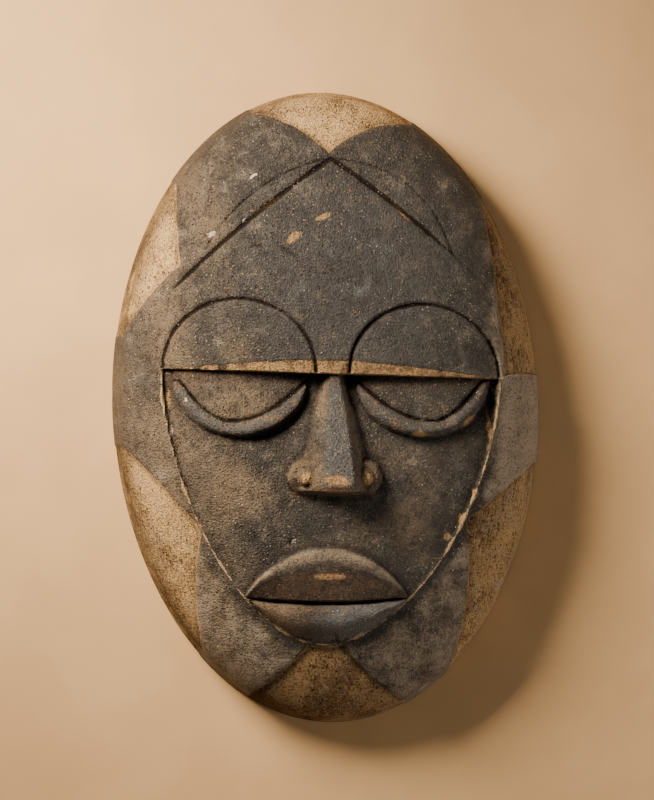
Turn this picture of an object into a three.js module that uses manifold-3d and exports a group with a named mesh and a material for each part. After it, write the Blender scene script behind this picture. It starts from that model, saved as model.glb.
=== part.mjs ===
import * as THREE from "three";
import ManifoldModule from "manifold-3d";

// Carved wooden face mask, one hollow shell of wood lying on its back rim.
// Millimetres, +Z out of the face, +Y to the top of the head, +X to the viewer's right.

// Whole mask
const WIDTH = 231; // widest, at the back rim
const HEIGHT = 340; // chin to crown at the back rim
const SIDE_HEIGHT = 22; // upright side before the dome turns in
const DOME_RISE = 50; // from the top of the side to the middle of the forehead
const DOME_FULLNESS = 2.3; // higher is flatter in the middle
const DOME_ROUNDING = 0.6; // lower turns down later at the edge
const SIDE_BATTER = 3.5; // how far the side leans in over its height
const OUTLINE_SKEW = 0.015; // upper left and lower right are fuller by this share
const OUTLINE_TAPER = 0.01; // upper half is wider by this share

// Shell
const RIM_WIDTH = 15; // flat ring that the mask lies on
const CROWN_WALL = 24; // wood behind the middle of the forehead

// Petals and the pale fields between them
const PETAL_HEIGHT = 2; // how far the dark petals stand over the pale fields
const PETAL_PROUD = 0.6; // how far they stand out past them at the back rim
const FIELD_REACH = 1.3; // fields are cut this far past the outline, as a share of it

// Face plane, under the brow
const FACE_HALF = 0.388 * WIDTH;
const FACE_TOP = 0.045 * HEIGHT;
const CHIN_Y = -0.3685 * HEIGHT;
const CHIN_X = -0.014 * WIDTH; // the chin sits this far off the middle
const FACE_CURVE = 1.8; // 2 with a fall of 0.5 would be a plain ellipse
const FACE_FALL = 0.61; // higher is more pointed
const FACE_STEP = 2.2; // face lies this far under its own edge ridge
const FACE_END = 3.2; // height that is left of the face at its outer ends
const FACE_LEAN = 1; // run of the slope from the face up to its edge ridge
const SOCKET_DEPTH = 12; // deepest, under the middle of the brow
const SOCKET_FADE = 0.1 * HEIGHT; // run over which the socket comes up to the cheek
const SOCKET_ROUNDING = 0.8; // lower keeps the socket deep nearer to its ends

// Forehead outline and brow
const APEX_Y = 0.387 * HEIGHT;
const TEMPLE_X = 0.364 * WIDTH;
const TEMPLE_Y = 0.182 * HEIGHT;
const TEMPLE_BOW = 0.022; // how far the edge bows outwards, as a share of its length
const BROW_Y = 0.053 * HEIGHT;
const BROW_SLOPE = -0.03;
const BROW_BAND = 0.022 * HEIGHT; // widest bevel of the brow edge, in the middle
const BROW_BEVEL = 3.6; // how far the bevel drops over its width
const BAND_TAPER = 1.3; // higher thins the bevel sooner towards its ends
const BROW_WALL = 0.8; // run of the wall from the brow down to the face
const GROOVE_WIDTH = 3;
const GROOVE_DEPTH = 1.8;
const GROOVE_REACH = 1.5; // a groove's cutter is this many times as wide as the groove

// Arches over the brow
const ARCH_X = 0.211 * WIDTH;
const ARCH_HALF = 0.173 * WIDTH;
const ARCH_RISE = 0.108 * HEIGHT;
const ARCH_GAP = 1; // feet of the arches over the brow's edge

// Eyes
const EYE_X = 0.208 * WIDTH;
const EYE_TOP = 0.042 * HEIGHT;
const EYE_HALF = 0.153 * WIDTH;
const EYE_DROP = 0.088 * HEIGHT;
const LID_SHARE = 0.71; // depth of the lid line under the eye's top, as a share of the rim's
const LID_OUTWARD = 0.0215 * WIDTH; // the lid line hangs lowest this far outwards
const LID_END = 0.014 * WIDTH; // width that is left to the rolled rim at its outer end
const LID_CURVE = 1.1; // 0.5 would be a half ellipse, 1 a parabola
const LID_HEIGHT = 5; // eyeball over the face plane at the lid line
const LID_GROOVE = 1.2; // depth of the line cut between them
const EYE_BULGE = 7.5; // eyeball in its middle
const EYE_TAPER = 0.25; // lower keeps the eye full nearer to its corners
const ROLL_HEIGHT = 8.5;
const ROLL_FULL = 0.03 * HEIGHT; // rolled rim is full height from this width on

// Nose
const NOSE_ROOT_Y = 0.059 * HEIGHT;
const NOSE_BASE_Y = -0.128 * HEIGHT;
const NOSE_HEIGHT = 21; // tip over the cheeks
const NOSE_ROOT_HEIGHT = 7;
const NOSE_X = 0.004 * WIDTH;
const NOSE_LEAN = 0.014 * WIDTH; // the ridge stands this far off the middle of its foot
const NOSE_ROOT_HALF = 0.015 * WIDTH;
const NOSE_TIP_HALF = 0.083 * WIDTH;
const NOSE_FLARE = 0.7; // lower widens sooner below the root
const NOSE_RIDGE = 0.34; // flat of the ridge, as a share of the nose's half width
const NOSE_TIP_ROUND = 0.02 * HEIGHT; // length over which the tip turns down
const NOSE_TIP_DROP = 0.22; // how far it turns down, as a share of its height
const WING_X = 0.067 * WIDTH;
const WING_Y = -0.107 * HEIGHT;
const WING_HALF = 0.04 * WIDTH;
const WING_LENGTH = 0.028 * HEIGHT;
const WING_HEIGHT = 10;
const WING_TURNS = 18;
const WING_RINGS = 5;

// Mouth
const MOUTH_X = -0.012 * WIDTH;
const MOUTH_HALF = 0.185 * WIDTH;
const MOUTH_Y = -0.2956 * HEIGHT; // corners of the mouth
const MOUTH_BOW = 0.75; // higher draws the lips in sooner towards the corners
const MOUTH_END = 0.8; // height of the mouth's blunt corners
const UPPER_LIP = 0.0812 * HEIGHT;
const LOWER_LIP = 0.066 * HEIGHT;
const SLIT_HALF = 1.5;
const SLIT_SAG = 2.7; // the middle of the slit hangs this far under its corners
const SLIT_REACH = 0.93; // length of the slit, as a share of the mouth's
const LIP_HEIGHT = 8; // top of the rolled upper edge over the face plane
const LIP_ROLL = 0.36; // width of the rolled edge, as a share of the upper lip's
const LIP_TAPER = 0.35; // lower keeps the lips full nearer to the corners
// Heights along the lips, as shares of the lip height
const ROLL_FOOT = 0.6; // both feet of the rolled edge
const INNER_TOP = 0.76; // slope inside the rolled edge, at its top
const INNER_FOOT = 0.16; // and at the slit
const LOWER_FOOT = 0.1; // lower lip at its outer edge
const LOWER_FULL = 0.75; // its middle over that
const LOWER_START = 0.08; // how far round its bulge it starts at the slit

// Fineness
const TURNS = 80;
const DOME_RINGS = 11;
const RING_CROWDING = 0.92; // lower crowds the rings towards the edge
const HOLLOW_TURNS = 48;
const HOLLOW_RINGS = 7;
const FACE_SPREAD = 1.45; // higher crowds the face's columns to its ends, up to pi / 2
const SHORT_EDGE = 0.12; // cuts leave no edge shorter than this
const CLEARANCE = 0.4; // cutters start this far off what they cut
const SKIRT = 1; // added forms start this far under the face
const TIDY_PASSES = 4;

const WOOD = { color: 0x4b4641, roughness: 0.82, metalness: 0 };

const LID = SIDE_HEIGHT + DOME_RISE + 2 * NOSE_HEIGHT; // cutters reach up to here, clear of everything
const FOOT = 0.2 * SIDE_HEIGHT; // added forms reach down to here, until the hollow is cut

/** Pale fields between the petals: tip as shares of the half sizes, where each edge
 * meets the outline in degrees, and how far each edge bows, as a share of its length. */
const FIELDS = [
  { tip: [-0.01, 0.79], ends: [64, 112.5], bows: [0.12, 0.08] },
  { tip: [-0.69, 0.44], ends: [133.5, 170], bows: [0.02, 0.07] },
  { tip: [-0.59, -0.38], ends: [186, 234.5], bows: [-0.02, 0.06] },
  { tip: [-0.015, -0.655], ends: [247, 292.5], bows: [0.05, 0.08] },
  { tip: [0.615, -0.352], ends: [303.5, 351], bows: [0.06, 0] },
  { tip: [0.8, 0.1], ends: [366, 404.5], bows: [0.03, 0.01] },
];

const wasm = await ManifoldModule();
wasm.setup();

/** Share by which the outline stands in or out at one turn angle. */
function skewAt(turn) {
  return 1 - OUTLINE_SKEW * Math.sin(2 * turn);
}

/** Plan point at a share of the way out, on the outline moved in by inset. */
function planPoint(share, turn, inset) {
  const up = share * skewAt(turn) * Math.sin(turn);
  const across = share * skewAt(turn) * Math.cos(turn);
  const half = WIDTH / 2 - PETAL_PROUD - inset;
  return [across * half * (1 + OUTLINE_TAPER * up), up * (HEIGHT / 2 - inset)];
}

/** Share of the way out at which a plan point lies. */
function shareAt(x, y, inset) {
  const up = y / (HEIGHT / 2 - inset);
  const across = x / ((WIDTH / 2 - PETAL_PROUD - inset) * (1 + OUTLINE_TAPER * up));
  return Math.hypot(across, up) / skewAt(Math.atan2(up, across));
}

/** Dome profile: 1 in the middle, 0 at the edge. */
function profile(share) {
  return Math.pow(Math.max(0, 1 - Math.pow(share, DOME_FULLNESS)), DOME_ROUNDING);
}

/** Height of the petals and forehead over a plan point. */
function domeAt(x, y) {
  return SIDE_HEIGHT + DOME_RISE * profile(shareAt(x, y, SIDE_BATTER - PETAL_PROUD));
}

/** Closed solid from loose triangles: equal points become one, empty triangles go. */
function solidFrom(triangles) {
  const index = new Map();
  const points = [];
  const corners = [];
  const numberOf = (point) => {
    const key = point.map((value) => Math.round(value * 1e4)).join(" ");
    if (!index.has(key)) {
      index.set(key, points.length / 3);
      points.push(...point);
    }
    return index.get(key);
  };
  let volume = 0;
  for (const triangle of triangles) {
    const [p, q, r] = triangle.map((point) => new THREE.Vector3(...point));
    volume += p.dot(q.cross(r));
  }
  for (const triangle of triangles) {
    const [a, b, c] = (volume < 0 ? [...triangle].reverse() : triangle).map(numberOf);
    if (a !== b && b !== c && c !== a) {
      corners.push(a, b, c);
    }
  }
  const mesh = new wasm.Mesh({
    numProp: 3,
    vertProperties: new Float32Array(points),
    triVerts: new Uint32Array(corners),
  });
  return new wasm.Manifold(mesh);
}

/** Solid between a grid surface and a flat cap straight over or under it. */
function block(columns, rows, pointAt, cap) {
  const grid = [];
  for (let i = 0; i <= columns; i += 1) {
    grid.push([]);
    for (let j = 0; j <= rows; j += 1) {
      grid[i].push(pointAt(i / columns, j / rows));
    }
  }
  const flat = (point) => [point[0], point[1], cap];
  const triangles = [];
  const quad = (a, b, c, d) => {
    triangles.push([a, b, c], [a, c, d]);
  };
  for (let i = 0; i < columns; i += 1) {
    for (let j = 0; j < rows; j += 1) {
      const ring = [grid[i][j], grid[i + 1][j], grid[i + 1][j + 1], grid[i][j + 1]];
      quad(...ring);
      quad(...ring.map(flat).reverse());
    }
    quad(grid[i + 1][0], grid[i][0], flat(grid[i][0]), flat(grid[i + 1][0]));
    quad(grid[i][rows], grid[i + 1][rows], flat(grid[i + 1][rows]), flat(grid[i][rows]));
  }
  for (let j = 0; j < rows; j += 1) {
    quad(grid[0][j], grid[0][j + 1], flat(grid[0][j + 1]), flat(grid[0][j]));
    quad(grid[columns][j + 1], grid[columns][j], flat(grid[columns][j]), flat(grid[columns][j + 1]));
  }
  return solidFrom(triangles);
}

/** Lathe-like solid on the outline: rings of [share, height, inset], first one in the middle. */
function ringSolid(rings, turns) {
  const triangles = [];
  const at = (ring, step) => {
    const [share, height, inset] = rings[ring];
    const turn = (2 * Math.PI * (step % turns)) / turns;
    return [...planPoint(share, turn, inset), height];
  };
  for (let step = 0; step < turns; step += 1) {
    for (let ring = 0; ring + 1 < rings.length; ring += 1) {
      const [a, b] = [at(ring, step), at(ring + 1, step)];
      const [c, d] = [at(ring + 1, step + 1), at(ring, step + 1)];
      triangles.push([a, b, c], [a, c, d]);
    }
  }
  return solidFrom(triangles);
}

/** Body without its hollow, at the level of the petals or of the pale fields. */
function bodySolid(proud, drop) {
  const rings = [];
  for (let ring = 0; ring <= DOME_RINGS; ring += 1) {
    const share = Math.sin((Math.PI / 2) * Math.pow(ring / DOME_RINGS, RING_CROWDING));
    const height = SIDE_HEIGHT - drop + DOME_RISE * profile(share);
    rings.push([share, height, SIDE_BATTER - proud]);
  }
  rings.push([1, 0, -proud]);
  rings.push([0, 0, -proud]);
  return ringSolid(rings, TURNS);
}

/** Hollow of the back, open downwards. */
function hollowSolid() {
  const depth = SIDE_HEIGHT + DOME_RISE - CROWN_WALL;
  const rings = [];
  for (let ring = 0; ring <= HOLLOW_RINGS; ring += 1) {
    const share = Math.sin((Math.PI / 2) * (ring / HOLLOW_RINGS));
    rings.push([share, depth * profile(share), RIM_WIDTH]);
  }
  rings.push([1, -SIDE_HEIGHT, RIM_WIDTH]);
  rings.push([0, -SIDE_HEIGHT, RIM_WIDTH]);
  return ringSolid(rings, HOLLOW_TURNS);
}

/** Points from one end to the other, bowed sideways by a share of the length. */
function bowedLine(from, to, bow, steps) {
  const line = [];
  for (let step = 0; step <= steps; step += 1) {
    const along = step / steps;
    const side = 4 * bow * along * (1 - along);
    const [dx, dy] = [to[0] - from[0], to[1] - from[1]];
    line.push([from[0] + dx * along - dy * side, from[1] + dy * along + dx * side]);
  }
  return line;
}

/** Upright prism over a closed plan line. */
function prism(line) {
  const shape = line.map(([x, y]) => new THREE.Vector2(x, y));
  if (THREE.ShapeUtils.isClockWise(shape)) {
    shape.reverse();
  }
  const faces = THREE.ShapeUtils.triangulateShape(shape, []);
  const at = (point, z) => [point.x, point.y, z];
  const triangles = [];
  for (const [a, b, c] of faces) {
    triangles.push([at(shape[a], LID), at(shape[b], LID), at(shape[c], LID)]);
    triangles.push([at(shape[c], -LID), at(shape[b], -LID), at(shape[a], -LID)]);
  }
  shape.forEach((point, number) => {
    const next = shape[(number + 1) % shape.length];
    triangles.push([at(point, -LID), at(next, -LID), at(next, LID)]);
    triangles.push([at(point, -LID), at(next, LID), at(point, LID)]);
  });
  return solidFrom(triangles);
}

/** One pale field, as a prism that reaches past the outline. */
function fieldSolid(field) {
  const tip = [(field.tip[0] * WIDTH) / 2, (field.tip[1] * HEIGHT) / 2];
  const [low, high] = field.ends.map((degrees) => (degrees * Math.PI) / 180);
  const start = planPoint(1, low, 0);
  const finish = planPoint(1, high, 0);
  const line = bowedLine(tip, start, field.bows[0], 8);
  for (let step = 0; step <= 4; step += 1) {
    line.push(planPoint(FIELD_REACH, low + ((high - low) * step) / 4, 0));
  }
  line.push(...bowedLine(finish, tip, field.bows[1], 8).slice(0, -1));
  return prism(line);
}

/** V groove cut into the dome along a plan line. */
function grooveSolid(line) {
  const at = (u, v) => {
    const step = Math.round(u * (line.length - 1));
    const before = line[Math.max(0, step - 1)];
    const after = line[Math.min(line.length - 1, step + 1)];
    const length = Math.hypot(after[0] - before[0], after[1] - before[1]);
    const across = (v - 0.5) * GROOVE_WIDTH * GROOVE_REACH;
    const x = line[step][0] - ((after[1] - before[1]) / length) * across;
    const y = line[step][1] + ((after[0] - before[0]) / length) * across;
    const sink = GROOVE_DEPTH * (1 - Math.abs(2 * v - 1) * GROOVE_REACH);
    return [x, y, domeAt(x, y) - sink];
  };
  return block(line.length - 1, 2, at, LID);
}

/** Lower edge of the brow. */
function browAt(x) {
  return BROW_Y + BROW_SLOPE * x;
}

/** Width of the bevelled band along the brow. */
function bandAt(x) {
  return BROW_BAND * Math.pow(Math.max(0, 1 - Math.pow(x / FACE_HALF, 2)), BAND_TAPER);
}

/** Lower outline of the face under one place across it. */
function faceEdgeAt(x) {
  const inside = Math.pow(1 - Math.pow(Math.min(1, Math.abs(x) / FACE_HALF), 2), 2);
  const out = Math.min(1, Math.abs(x - CHIN_X * inside) / FACE_HALF);
  const down = Math.pow(1 - Math.pow(out, FACE_CURVE), FACE_FALL);
  return FACE_TOP + (CHIN_Y - FACE_TOP) * down;
}

/** Height of the face plane, without eyes, nose and mouth. */
function faceAt(x, y) {
  const below = Math.max(0, browAt(x) - y) / SOCKET_FADE;
  const inward = Math.pow(Math.max(0, 1 - Math.pow(x / FACE_HALF, 2)), SOCKET_ROUNDING);
  return domeAt(x, y) - FACE_STEP - SOCKET_DEPTH * inward * Math.exp(-below * below);
}

/** Cutter that sinks the face under the brow, with the bevel along its top. */
function faceCutter() {
  const columns = 36;
  const rows = 15;
  const at = (u, v) => {
    const x = (FACE_HALF * Math.sin(FACE_SPREAD * (2 * u - 1))) / Math.sin(FACE_SPREAD);
    const brow = browAt(x);
    const bottom = Math.min(faceEdgeAt(x), brow - FACE_END);
    const row = Math.round(v * rows);
    if (row === 0) {
      const y = brow + bandAt(x) + CLEARANCE;
      return [x, y, domeAt(x, y) + CLEARANCE];
    }
    if (row === 1) {
      return [x, brow, domeAt(x, brow) - BROW_BEVEL * (bandAt(x) / BROW_BAND)];
    }
    if (row === rows) {
      return [x, bottom - FACE_LEAN, domeAt(x, bottom - FACE_LEAN) + CLEARANCE];
    }
    const along = (row - 2) / (rows - 3);
    const y = brow - BROW_WALL + (bottom - brow + BROW_WALL) * along;
    return [x, y, faceAt(x, y)];
  };
  return block(columns, rows, at, LID);
}

/** Lower edge of one eye's rolled rim, under one place across it. */
function rimAt(side, x) {
  const out = (x - side * EYE_X) / EYE_HALF;
  return EYE_TOP - EYE_DROP * Math.sqrt(Math.max(0, 1 - out * out));
}

/** Line between the eyeball and its rolled rim, which runs out at the inner corner. */
function lidAt(side, x) {
  const out = side * x - EYE_X - LID_OUTWARD;
  const reach = out > 0 ? EYE_HALF - LID_OUTWARD - LID_END : EYE_HALF + LID_OUTWARD;
  const down = Math.pow(Math.max(0, 1 - Math.pow(out / reach, 2)), LID_CURVE);
  return Math.max(EYE_TOP - EYE_DROP * LID_SHARE * down, rimAt(side, x));
}

/** Half-closed eye: a flat lens with a rolled rim round its lower edge. */
function eyeSolid(side) {
  const lensRows = 4;
  const rollRows = 6;
  const at = (u, v) => {
    const out = -Math.cos(Math.PI * u);
    const x = side * EYE_X + EYE_HALF * out;
    const [lid, rim] = [lidAt(side, x), rimAt(side, x)];
    const row = Math.round(v * (lensRows + rollRows));
    const taper = Math.pow(1 - out * out, EYE_TAPER);
    if (row < lensRows) {
      const down = row / lensRows;
      const y = EYE_TOP + (lid - EYE_TOP) * down;
      const depth = (EYE_TOP - lid) / (EYE_DROP * LID_SHARE);
      const lens = LID_GROOVE + (EYE_BULGE - LID_HEIGHT) * (1 - down * down);
      const rise = LID_HEIGHT - LID_GROOVE + lens * Math.sqrt(depth);
      return [x, y, faceAt(x, y) - SKIRT + (rise + SKIRT) * taper];
    }
    const along = (row - lensRows) / rollRows;
    const y = lid + (rim - lid) * along;
    const foot = (LID_HEIGHT - LID_GROOVE) * (1 - along);
    const full = Math.max(foot, ROLL_HEIGHT * Math.sqrt(Math.min(1, (lid - rim) / ROLL_FULL)));
    const rise = foot + (full - foot) * Math.sqrt(1 - Math.pow(2 * along - 1, 2));
    return [x, y, faceAt(x, y) - SKIRT + (along === 1 ? 0 : (rise + SKIRT) * taper)];
  };
  return block(20, lensRows + rollRows, at, FOOT);
}

/** Nose wedge from under the brow to its flat-cut base. */
function noseSolid() {
  const at = (u, v) => {
    const y = NOSE_ROOT_Y + (NOSE_BASE_Y - NOSE_ROOT_Y) * v;
    const half = NOSE_ROOT_HALF + (NOSE_TIP_HALF - NOSE_ROOT_HALF) * Math.pow(v, NOSE_FLARE);
    const across = 2 * u - 1;
    const ridge = Math.min(1, (1 - Math.abs(across)) / (1 - NOSE_RIDGE));
    const x = NOSE_X + half * across + NOSE_LEAN * ridge * v;
    const toTip = Math.max(0, 1 - (y - NOSE_BASE_Y) / NOSE_TIP_ROUND);
    const rise = NOSE_ROOT_HEIGHT + (NOSE_HEIGHT - NOSE_ROOT_HEIGHT) * v;
    const turned = 1 - NOSE_TIP_DROP * toTip * toTip;
    return [x, y, faceAt(x, y) - SKIRT + (rise + SKIRT) * ridge * turned];
  };
  return block(10, 10, at, FOOT);
}

/** One nostril wing, a low bulb cut off flat with the nose base. */
function wingSolid(side) {
  const at = (u, v) => {
    const turn = 2 * Math.PI * u;
    const x = NOSE_X + side * WING_X + WING_HALF * v * Math.cos(turn);
    const y = Math.max(NOSE_BASE_Y, WING_Y + WING_LENGTH * v * Math.sin(turn));
    const rise = WING_HEIGHT * Math.sqrt(Math.max(0, 1 - v * v));
    return [x, y, faceAt(x, y) - SKIRT + rise];
  };
  const corner = (turn, ring) => {
    return at((turn % WING_TURNS) / WING_TURNS, Math.sin((Math.PI / 2) * (ring / WING_RINGS)));
  };
  const triangles = [];
  for (let i = 0; i < WING_TURNS; i += 1) {
    for (let j = 0; j < WING_RINGS; j += 1) {
      const ring = [corner(i, j), corner(i, j + 1), corner(i + 1, j + 1), corner(i + 1, j)];
      const flat = ring.map(([x, y]) => [x, y, FOOT]).reverse();
      triangles.push([ring[0], ring[1], ring[2]], [ring[0], ring[2], ring[3]]);
      triangles.push([flat[0], flat[1], flat[2]], [flat[0], flat[2], flat[3]]);
    }
    const [outer, next] = [corner(i, WING_RINGS), corner(i + 1, WING_RINGS)];
    const [lowOuter, lowNext] = [outer, next].map(([x, y]) => [x, y, FOOT]);
    triangles.push([outer, lowOuter, lowNext], [outer, lowNext, next]);
  }
  return solidFrom(triangles);
}

/** Height of the lips over the face plane, from 0 at the top edge to 1 at the bottom. */
function lipRise(v) {
  const slit = UPPER_LIP / (UPPER_LIP + LOWER_LIP);
  if (v < slit) {
    const along = v / slit;
    if (along < LIP_ROLL) {
      return ROLL_FOOT + (1 - ROLL_FOOT) * Math.sin(Math.PI * (along / LIP_ROLL));
    }
    return INNER_TOP - (INNER_TOP - INNER_FOOT) * ((along - LIP_ROLL) / (1 - LIP_ROLL));
  }
  const along = LOWER_START + ((1 - LOWER_START) * (v - slit)) / (1 - slit);
  return LOWER_FOOT + LOWER_FULL * Math.sin(Math.PI * Math.min(1, along));
}

/** Both lips as one body, before the slit is cut. */
function mouthSolid() {
  const at = (u, v) => {
    const across = Math.sin((Math.PI / 2) * (2 * u - 1));
    const x = MOUTH_X + MOUTH_HALF * across;
    const bow = Math.pow(Math.max(0, 1 - across * across), MOUTH_BOW);
    const top = MOUTH_Y + UPPER_LIP * bow;
    const bottom = Math.max(MOUTH_Y - LOWER_LIP * bow, faceEdgeAt(x) + SKIRT);
    const y = top + (Math.min(bottom, top - MOUTH_END) - top) * v;
    const rise = LIP_HEIGHT * lipRise(v) * Math.pow(bow, LIP_TAPER);
    const onEdge = [0, 1].includes(u) || [0, 1].includes(v);
    return [x, y, faceAt(x, y) + (onEdge ? -SKIRT : rise)];
  };
  return block(28, 14, at, FOOT);
}

/** Cutter for the slit between the lips. */
function slitCutter() {
  const at = (u, v) => {
    const across = 2 * u - 1;
    const x = MOUTH_X + MOUTH_HALF * SLIT_REACH * across;
    const middle = 1 - across * across;
    const y = MOUTH_Y - SLIT_SAG * middle + SLIT_HALF * Math.sqrt(middle) * (1 - 2 * v);
    const sink = (1 - Math.abs(2 * v - 1)) * Math.sqrt(middle);
    return [x, y, faceAt(x, y) + LIP_HEIGHT / 2 - (LIP_HEIGHT / 2 + FACE_STEP) * sink];
  };
  return block(24, 2, at, LID);
}

/** Arch groove over one half of the brow. */
function archLine(side) {
  const line = [];
  for (let step = 0; step <= 24; step += 1) {
    const turn = Math.PI * (step / 24);
    const x = side * ARCH_X + ARCH_HALF * Math.cos(turn);
    line.push([x, browAt(x) + ARCH_GAP + ARCH_RISE * Math.sin(turn)]);
  }
  return line;
}

/** Joined mesh without needle triangles: short edges close up and flat caps turn over. */
function tidied(mesh) {
  const points = [];
  for (let i = 0; i < mesh.vertProperties.length; i += 3) {
    points.push(new THREE.Vector3().fromArray(mesh.vertProperties, i));
  }
  const faces = [];
  const around = points.map(() => new Set());
  for (let i = 0; i < mesh.triVerts.length; i += 3) {
    const face = [...mesh.triVerts.slice(i, i + 3)];
    face.forEach((corner) => around[corner].add(faces.length));
    faces.push(face);
  }
  const ringOf = (corner) => {
    const ring = new Set([...around[corner]].flatMap((face) => faces[face]));
    ring.delete(corner);
    return ring;
  };
  const shared = (a, b) => [...around[a]].filter((face) => around[b].has(face));
  const normalOf = (face) => {
    const [a, b, c] = face.map((corner) => points[corner]);
    return b.clone().sub(a).cross(c.clone().sub(a));
  };
  const drop = (face) => {
    faces[face].forEach((corner) => around[corner].delete(face));
    faces[face] = null;
  };
  const close = (keep, gone) => {
    const common = [...ringOf(keep)].filter((corner) => ringOf(gone).has(corner));
    if (common.length !== 2 || shared(keep, gone).length !== 2) {
      return;
    }
    const moved = [...around[gone]].filter((face) => !around[keep].has(face));
    const turned = moved.some((face) => {
      const after = faces[face].map((corner) => (corner === gone ? keep : corner));
      return normalOf(faces[face]).length() > SHORT_EDGE && normalOf(faces[face]).dot(normalOf(after)) < 0;
    });
    if (turned) {
      return;
    }
    shared(keep, gone).forEach(drop);
    for (const face of moved) {
      faces[face] = faces[face].map((corner) => (corner === gone ? keep : corner));
      around[gone].delete(face);
      around[keep].add(face);
    }
  };
  const turnOver = (number) => {
    const face = faces[number];
    const sides = [0, 1, 2].map((k) => points[face[k]].distanceTo(points[face[(k + 1) % 3]]));
    const longest = sides.indexOf(Math.max(...sides));
    if (normalOf(face).length() / sides[longest] > SHORT_EDGE / 2) {
      return;
    }
    const [a, b, c] = [face[longest], face[(longest + 1) % 3], face[(longest + 2) % 3]];
    const other = shared(a, b).find((candidate) => candidate !== number);
    const d = faces[other].find((corner) => corner !== a && corner !== b);
    const next = [[a, d, c], [d, b, c]];
    if (ringOf(c).has(d) || next.some((made) => normalOf(made).dot(normalOf(faces[other])) <= 0)) {
      const nearA = points[a].distanceTo(points[c]) < points[b].distanceTo(points[c]);
      close(nearA ? a : b, c);
      return;
    }
    drop(number);
    drop(other);
    [number, other].forEach((slot, k) => {
      faces[slot] = next[k];
      next[k].forEach((corner) => around[corner].add(slot));
    });
  };
  for (let pass = 0; pass < TIDY_PASSES; pass += 1) {
    for (let number = 0; number < faces.length; number += 1) {
      for (let k = 0; k < 3 && faces[number]; k += 1) {
        const [keep, gone] = [faces[number][k], faces[number][(k + 1) % 3]];
        if (points[keep].distanceTo(points[gone]) < SHORT_EDGE) {
          close(keep, gone);
        }
      }
      if (faces[number]) {
        turnOver(number);
      }
    }
  }
  const flat = faces.filter(Boolean).flat();
  const used = [...new Set(flat)];
  const renumber = new Map(used.map((corner, order) => [corner, order]));
  const geometry = new THREE.BufferGeometry();
  const place = new Float32Array(used.flatMap((corner) => points[corner].toArray()));
  geometry.setAttribute("position", new THREE.BufferAttribute(place, 3));
  geometry.setIndex(flat.map((corner) => renumber.get(corner)));
  return geometry;
}

let mask = bodySolid(PETAL_PROUD, 0);
for (const field of FIELDS) {
  mask = mask.subtract(fieldSolid(field));
}
mask = mask.add(bodySolid(0, PETAL_HEIGHT));
for (const side of [-1, 1]) {
  const edge = bowedLine([0, APEX_Y], [side * TEMPLE_X, TEMPLE_Y], side * TEMPLE_BOW, 16);
  mask = mask.subtract(grooveSolid(edge));
  mask = mask.subtract(grooveSolid(archLine(side)));
}
mask = mask.subtract(faceCutter());
for (const side of [-1, 1]) {
  mask = mask.add(eyeSolid(side));
  mask = mask.add(wingSolid(side));
}
mask = mask.add(noseSolid());
mask = mask.add(mouthSolid().subtract(slitCutter()));
mask = mask.subtract(hollowSolid());

const group = new THREE.Group();
const body = new THREE.Mesh(tidied(mask.getMesh()), new THREE.MeshStandardMaterial(WOOD));
body.name = "mask";
group.add(body);

export default group;
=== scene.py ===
"""A carved wooden face mask, hollow at the back, lying face up on its flat rim.

Shapes are worked out in millimetres in the CAD frame (+Z out of the face, +Y to the top
of the head) and become metres when the mesh is made. The front is one height function
over the plan, so every carved form is a named term of it.
"""

import logging
import math
from dataclasses import dataclass, field, fields
from enum import Enum

import bpy
import numpy as np
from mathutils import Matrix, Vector


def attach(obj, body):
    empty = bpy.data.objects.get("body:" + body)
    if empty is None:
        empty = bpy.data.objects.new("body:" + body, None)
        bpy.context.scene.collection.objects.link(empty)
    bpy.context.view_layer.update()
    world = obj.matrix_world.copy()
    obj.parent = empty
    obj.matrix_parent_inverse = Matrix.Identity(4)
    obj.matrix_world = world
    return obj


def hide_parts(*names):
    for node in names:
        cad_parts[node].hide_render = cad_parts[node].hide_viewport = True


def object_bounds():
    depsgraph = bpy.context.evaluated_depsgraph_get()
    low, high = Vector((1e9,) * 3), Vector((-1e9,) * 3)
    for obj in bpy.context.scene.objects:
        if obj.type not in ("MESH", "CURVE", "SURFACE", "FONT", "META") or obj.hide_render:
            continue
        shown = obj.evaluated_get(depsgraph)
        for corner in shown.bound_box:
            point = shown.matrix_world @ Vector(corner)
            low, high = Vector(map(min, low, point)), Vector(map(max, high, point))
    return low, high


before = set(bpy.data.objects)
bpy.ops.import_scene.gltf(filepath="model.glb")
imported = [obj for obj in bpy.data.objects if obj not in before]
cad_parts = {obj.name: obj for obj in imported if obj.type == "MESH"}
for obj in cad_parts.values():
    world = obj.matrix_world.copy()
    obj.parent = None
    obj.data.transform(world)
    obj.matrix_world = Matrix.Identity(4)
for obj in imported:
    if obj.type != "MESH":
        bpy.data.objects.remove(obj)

CAD_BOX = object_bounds()
MM = 0.001
WIDTH = (CAD_BOX[1][0] - CAD_BOX[0][0]) / MM
HEIGHT = (CAD_BOX[1][1] - CAD_BOX[0][1]) / MM
TOP = CAD_BOX[1][2] / MM
LOG = logging.getLogger("mask")

# Short names for arrays over the grid, pairs of numbers, linear colours and shader sockets.
Grid = np.ndarray
Pair = tuple[float, float]
Colour = tuple[float, float, float]
Socket = bpy.types.NodeSocket

# Distance of a place that no line comes near, height of a form beside itself, fine steps of angle.
FAR = 99.0
BURIED = -6.0
HALF_TURN = np.linspace(-np.pi / 2.0, np.pi / 2.0, 6001)


def smooth_step(value: Grid, low: float, high: float) -> Grid:
    """Rises from 0 at low to 1 at high with level ends: t * t * (3 - 2t), t being the share of the way."""
    t = np.clip((value - low) / (high - low), 0.0, 1.0)
    return t * t * (3.0 - 2.0 * t)


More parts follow.
